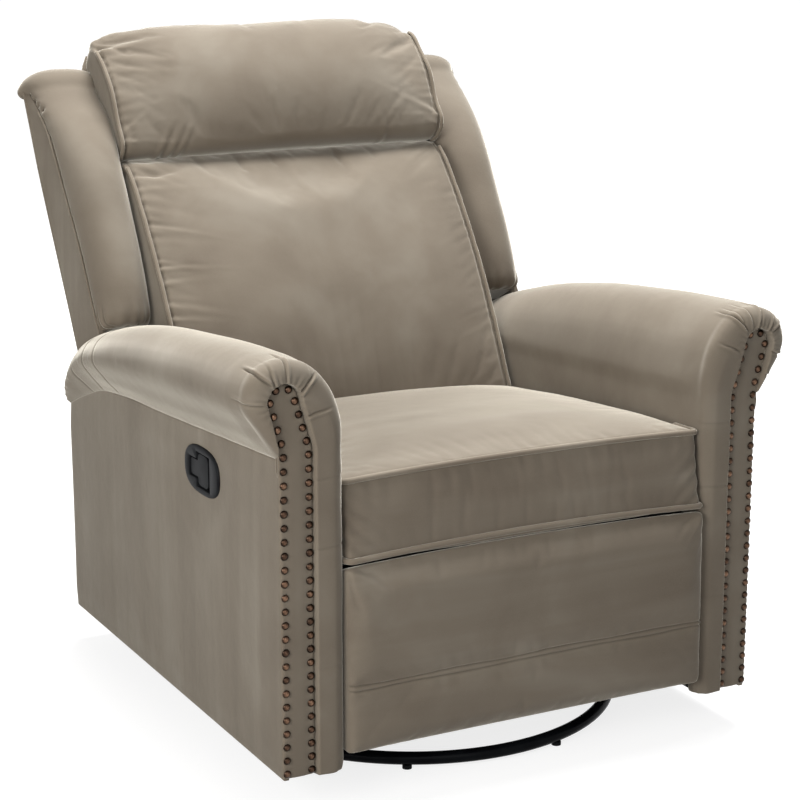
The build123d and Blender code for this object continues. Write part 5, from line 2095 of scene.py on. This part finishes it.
@dataclass
class Body:
    """The rear apron, the frame and the springs under the seat."""

    half: float = 296.7
    rear: float = 345.0
    thick: float = 15.0
    low: float = 58.0
    high: float = 385.0

    def place(self, u: Points, v: Points) -> Points:
        """Points on the apron for shares across and up."""
        z = self.low + v * (self.high - self.low)
        return rows_of(self.half * (1 - 2 * u), self.rear, z)

    def height(self, points: Points) -> Points:
        """The apron's slight swell."""
        outside = ease_in(points[:, 1], self.rear - 1.0, self.rear - 0.1)
        return (1.0 + 0.9 * waver(points, 200.0, 91)) * outside

    def build(self, wardrobe: Wardrobe) -> None:
        """Makes the apron's cover and dresses the frame.

        Args:
            wardrobe: Gives the pieces their finishes.
        """
        lengths = (2 * self.half, self.high - self.low)
        solid = soft_panel(self.place, (0.0, 1.0, 0.0), lengths, self.thick, 4.0, 8.0)
        apron = make_piece("apron_cover", [solid])
        push(apron, self.height)
        wardrobe.dress(apron, SIDE_VELVET, "chassis", "rear_apron")
        # Frame parts that show through gaps are coated near black as painted shade
        wardrobe.coat(GapShadeLining(), "arm_frame_left", "arm_frame_right", "seat_front_rail", "footrest_board")
        wardrobe.coat(FrameTimber(), "base_rails", "seat_rear_rail", "seat_side_rails")
        wire = PlainSteel("spring_wire", "spring_steel", (0.10, 0.10, 0.11), (0.26, 0.26, 0.27))
        wardrobe.coat(wire, "seat_springs")


@dataclass
class Mechanism:
    """The linkage of the footrest, left as it is made, with its paint and pins."""

    plates: tuple[str, ...] = (
        "mech_plate", "front_link", "rear_link", "lower_link", "upper_link", "footrest_bracket",
    )
    pins: tuple[str, ...] = (
        "frame_pivot_pins", "front_link_pins", "rear_link_pins", "lower_link_pins",
        "upper_link_pins", "drive_tube",
    )

    def build(self, wardrobe: Wardrobe) -> None:
        """Dresses the links and their pins.

        Args:
            wardrobe: Gives the pieces their finishes.
        """
        for name in self.plates:
            wardrobe.coat(LINKAGE_PAINT, f"{name}_left", f"{name}_right")
        wardrobe.coat(ZINC, *self.pins)


@dataclass
class Base:
    """The ring base with its spider, glides and ball race."""

    ring: tuple[str, ...] = ("base_ring", "base_spider")
    race: tuple[str, ...] = (
        "swivel_lower_plate", "swivel_upper_plate", "swivel_balls", "swivel_cage", "swivel_bolt",
    )

    def build(self, wardrobe: Wardrobe) -> None:
        """Dresses the base.

        Args:
            wardrobe: Gives the pieces their finishes.
        """
        wardrobe.coat(RING_PAINT, *self.ring)
        wardrobe.coat(ZINC, *self.race)
        wardrobe.coat(Moulding("glide_rubber", "black_rubber", rough=(0.6, 0.8)), "floor_glides")


@dataclass
class Handle:
    """The release handle: the escutcheon round its well and the paddle lever."""

    spot: tuple[float, float] = (-219.0, 428.0)
    half: tuple[float, float] = (61.0, 35.0)
    squareness: float = 2.6
    face: float = -385.0
    wall: float = -380.6
    floor: float = -359.0
    paddle: tuple[float, float, float] = (29.0, 14.0, 23.0)
    tail: tuple[float, float] = (40.0, 12.0)
    gap: float = 2.4
    shell: float = 2.2
    bevel: float = 1.0
    turns: int = 180

    def edge(self, inset: float) -> Points:
        """Reach of the escutcheon's rounded outline from its middle, drawn in by an inset."""
        t, power = circle(self.turns), self.squareness
        wide, tall = self.half[0] - inset, self.half[1] - inset
        return (np.abs(np.cos(t) / wide) ** power + np.abs(np.sin(t) / tall) ** power) ** (-1 / power)

    def opening(self, grow: float) -> Points:
        """Reach of the well's outline, which follows the lever.

        Args:
            grow: How far outside the lever it runs.

        Returns:
            The reach for each direction.
        """
        t = circle(self.turns)
        c, s = np.cos(t), np.maximum(np.abs(np.sin(t)), 1e-6)
        front, shoulder, tall = (value + grow for value in self.paddle)
        along = np.where(c > 0, shoulder / np.maximum(c, 1e-6), front / np.maximum(-c, 1e-6))
        broad = np.minimum(along, tall / s)
        slim = np.minimum((self.tail[0] + grow) / np.maximum(c, 1e-6), (self.tail[1] + grow) / s)
        return np.where((c > 0) & (slim * c > shoulder - 8.0), np.maximum(broad, slim), broad)

    def ring(self, reach: Points, x: float) -> Points:
        """A closed line round the handle's middle at a depth."""
        t = circle(self.turns)
        return rows_of(x, self.spot[0] + reach * np.cos(t), self.spot[1] + reach * np.sin(t))

    def escutcheon(self) -> Solid:
        """The plate with its rounded rim and the well that is sunk through it.

        Returns:
            Its points and faces.
        """
        well, wall, face = self.gap + self.shell, self.wall, self.face
        rings = [(self.opening(well), self.floor + self.shell), (self.opening(well), wall)]
        rim = ((0.4, wall), (0.0, wall - 1.2), (0.4, wall - 2.6), (1.6, face + 0.5), (3.4, face))
        rings += [(self.edge(inset), x) for inset, x in rim]
        lip = ((0.9, face), (0.2, face + 0.5), (0.0, face + 1.4), (0.0, self.floor))
        rings += [(self.opening(self.gap + grow), x) for grow, x in lip]
        return loft([self.ring(reach, x) for reach, x in rings])

    def lever(self) -> Piece:
        """The paddle lever with its edges rounded.

        Returns:
            The new object.
        """
        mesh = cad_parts["release_lever"].data.copy()
        bm = bmesh.new()
        bm.from_mesh(mesh)
        bmesh.ops.remove_doubles(bm, verts=bm.verts, dist=1e-6)
        bmesh.ops.dissolve_limit(bm, angle_limit=math.radians(2.0), verts=bm.verts, edges=bm.edges)
        bm.to_mesh(mesh)
        bm.free()
        piece = in_scene("handle_lever", mesh)
        apply_modifier(piece, "BEVEL", width=self.bevel * MM, segments=3, limit_method="ANGLE",
                       angle_limit=math.radians(40.0))
        return piece

    def build(self, wardrobe: Wardrobe) -> None:
        """Makes both mouldings and dresses them.

        Args:
            wardrobe: Gives the pieces their finishes.
        """
        finish = Moulding("handle_moulding", "black_plastic")
        plate = make_piece("handle_bezel", [self.escutcheon()])
        apply_modifier(plate, "EDGE_SPLIT", split_angle=math.radians(50.0))
        wardrobe.dress(plate, finish, "chassis", "release_bezel")
        wardrobe.dress(self.lever(), finish, "lever", "release_lever")


@dataclass
class Studio:
    """The pale floor, soft lamps and the camera at the photograph's angle."""

    target: tuple[float, float, float] = (9.6, -72.0, 454.7)
    azimuth: float = -27.86
    elevation: float = 13.62
    distance: float = 3283.0
    lens: float = 95.6
    floor_half: float = 30.0
    floor_tone: float = 0.30
    floor_lift: tuple[float, float] = (0.80, 1.0)
    floor_reach: tuple[float, float] = (1.1, 2.4)
    world: float = 0.10
    aim: tuple[float, float, float] = (0.0, -0.05, 0.45)
    lamps: tuple[tuple[str, Colour, float, float, Colour], ...] = (
        ("key", (-2.6, -1.6, 1.25), 1.6, 80.0, (1.0, 0.985, 0.96)),
        ("fill", (-0.8, -3.3, 1.6), 2.4, 36.0, (0.98, 0.985, 1.0)),
        ("top", (0.6, 0.55, 4.0), 2.0, 365.0, (1.0, 1.0, 1.0)),
        ("rear", (1.2, 3.0, 1.7), 2.4, 24.0, (1.0, 1.0, 1.0)),
    )

    def build_camera(self) -> None:
        """Sets the camera."""
        data = bpy.data.cameras.new("camera")
        data.lens, data.sensor_width = self.lens, 36.0
        camera = in_scene("camera", data)
        az, el = math.radians(self.azimuth), math.radians(self.elevation)
        back = Vector((math.sin(az) * math.cos(el), -math.cos(az) * math.cos(el), math.sin(el)))
        camera.location = (Vector(self.target) + back * self.distance) * MM
        camera.rotation_euler = back.to_track_quat("Z", "Y").to_euler()
        bpy.context.scene.camera = camera

    def build_floor(self) -> None:
        """Makes the floor: pale, white to the camera, and keeping the object's shadow."""
        mesh = bpy.data.meshes.new("floor")
        signs = ((-1, -1), (1, -1), (1, 1), (-1, 1))
        corners = [(x * self.floor_half, y * self.floor_half, 0.0) for x, y in signs]
        mesh.from_pydata(corners, [], [(0, 1, 2, 3)])
        material = bpy.data.materials.new("floor_white")
        nodes = Nodes(material, "ShaderNodeOutputMaterial")
        away = nodes.add("ShaderNodeVectorMath", nodes.place(), operation="LENGTH").outputs["Value"]
        paler = nodes.span(away, *self.floor_lift, *self.floor_reach)
        lift = nodes.add("ShaderNodeMath", nodes.seen(), paler, operation="MULTIPLY").outputs[0]
        ground = nodes.add("ShaderNodeBsdfDiffuse", Color=(*[self.floor_tone] * 3, 1.0)).outputs[0]
        glow = nodes.add("ShaderNodeEmission", Strength=lift).outputs[0]
        both = nodes.add("ShaderNodeAddShader", ground, glow).outputs[0]
        nodes.put(nodes.output.inputs[0], both)
        mesh.materials.append(material)
        in_scene("floor", mesh)

    def build_world(self) -> None:
        """Sets a soft sky that is white where it is seen."""
        world = bpy.data.worlds.new("sky")
        nodes = Nodes(world, "ShaderNodeOutputWorld")
        strength = nodes.span(nodes.seen(), self.world, 1.0)
        sky = nodes.add("ShaderNodeBackground", Color=(1.0, 1.0, 1.0, 1.0), Strength=strength)
        nodes.put(nodes.output.inputs[0], sky.outputs[0])
        bpy.context.scene.world = world

    def build_lamps(self) -> None:
        """Places the large soft lamps."""
        for name, spot, size, power, colour in self.lamps:
            data = bpy.data.lights.new(name, "AREA")
            data.size, data.energy, data.color = size, power, colour
            lamp = in_scene(name, data)
            lamp.location = spot
            lamp.rotation_euler = (Vector(spot) - Vector(self.aim)).to_track_quat("Z", "Y").to_euler()

    def build(self) -> None:
        """Sets the whole stage."""
        bpy.context.scene.view_settings.view_transform = "Standard"
        self.build_camera()
        self.build_floor()
        self.build_world()
        self.build_lamps()


def main() -> None:
    """Builds the recliner's looks piece by piece."""
    logging.basicConfig(level=logging.INFO, format="%(name)s: %(message)s")
    wardrobe = Wardrobe()
    Studio().build()
    arms = [Arm(side) for side in Side]
    for arm in arms:
        arm.build_cover(wardrobe)
        arm.build_side(wardrobe)
        arm.build_facing(wardrobe)
    NailTrim(arms).build(wardrobe)
    Seat().build(wardrobe)
    Footrest().build(wardrobe)
    Lumbar().build(wardrobe)
    Pillow().build(wardrobe)
    wings = [Wing(side) for side in Side]
    for wing in wings:
        wing.build(wardrobe)
    OutsideBack(wings[0]).build(wardrobe)
    Body().build(wardrobe)
    Mechanism().build(wardrobe)
    Base().build(wardrobe)
    Handle().build(wardrobe)


if __name__ == "__main__":
    main()
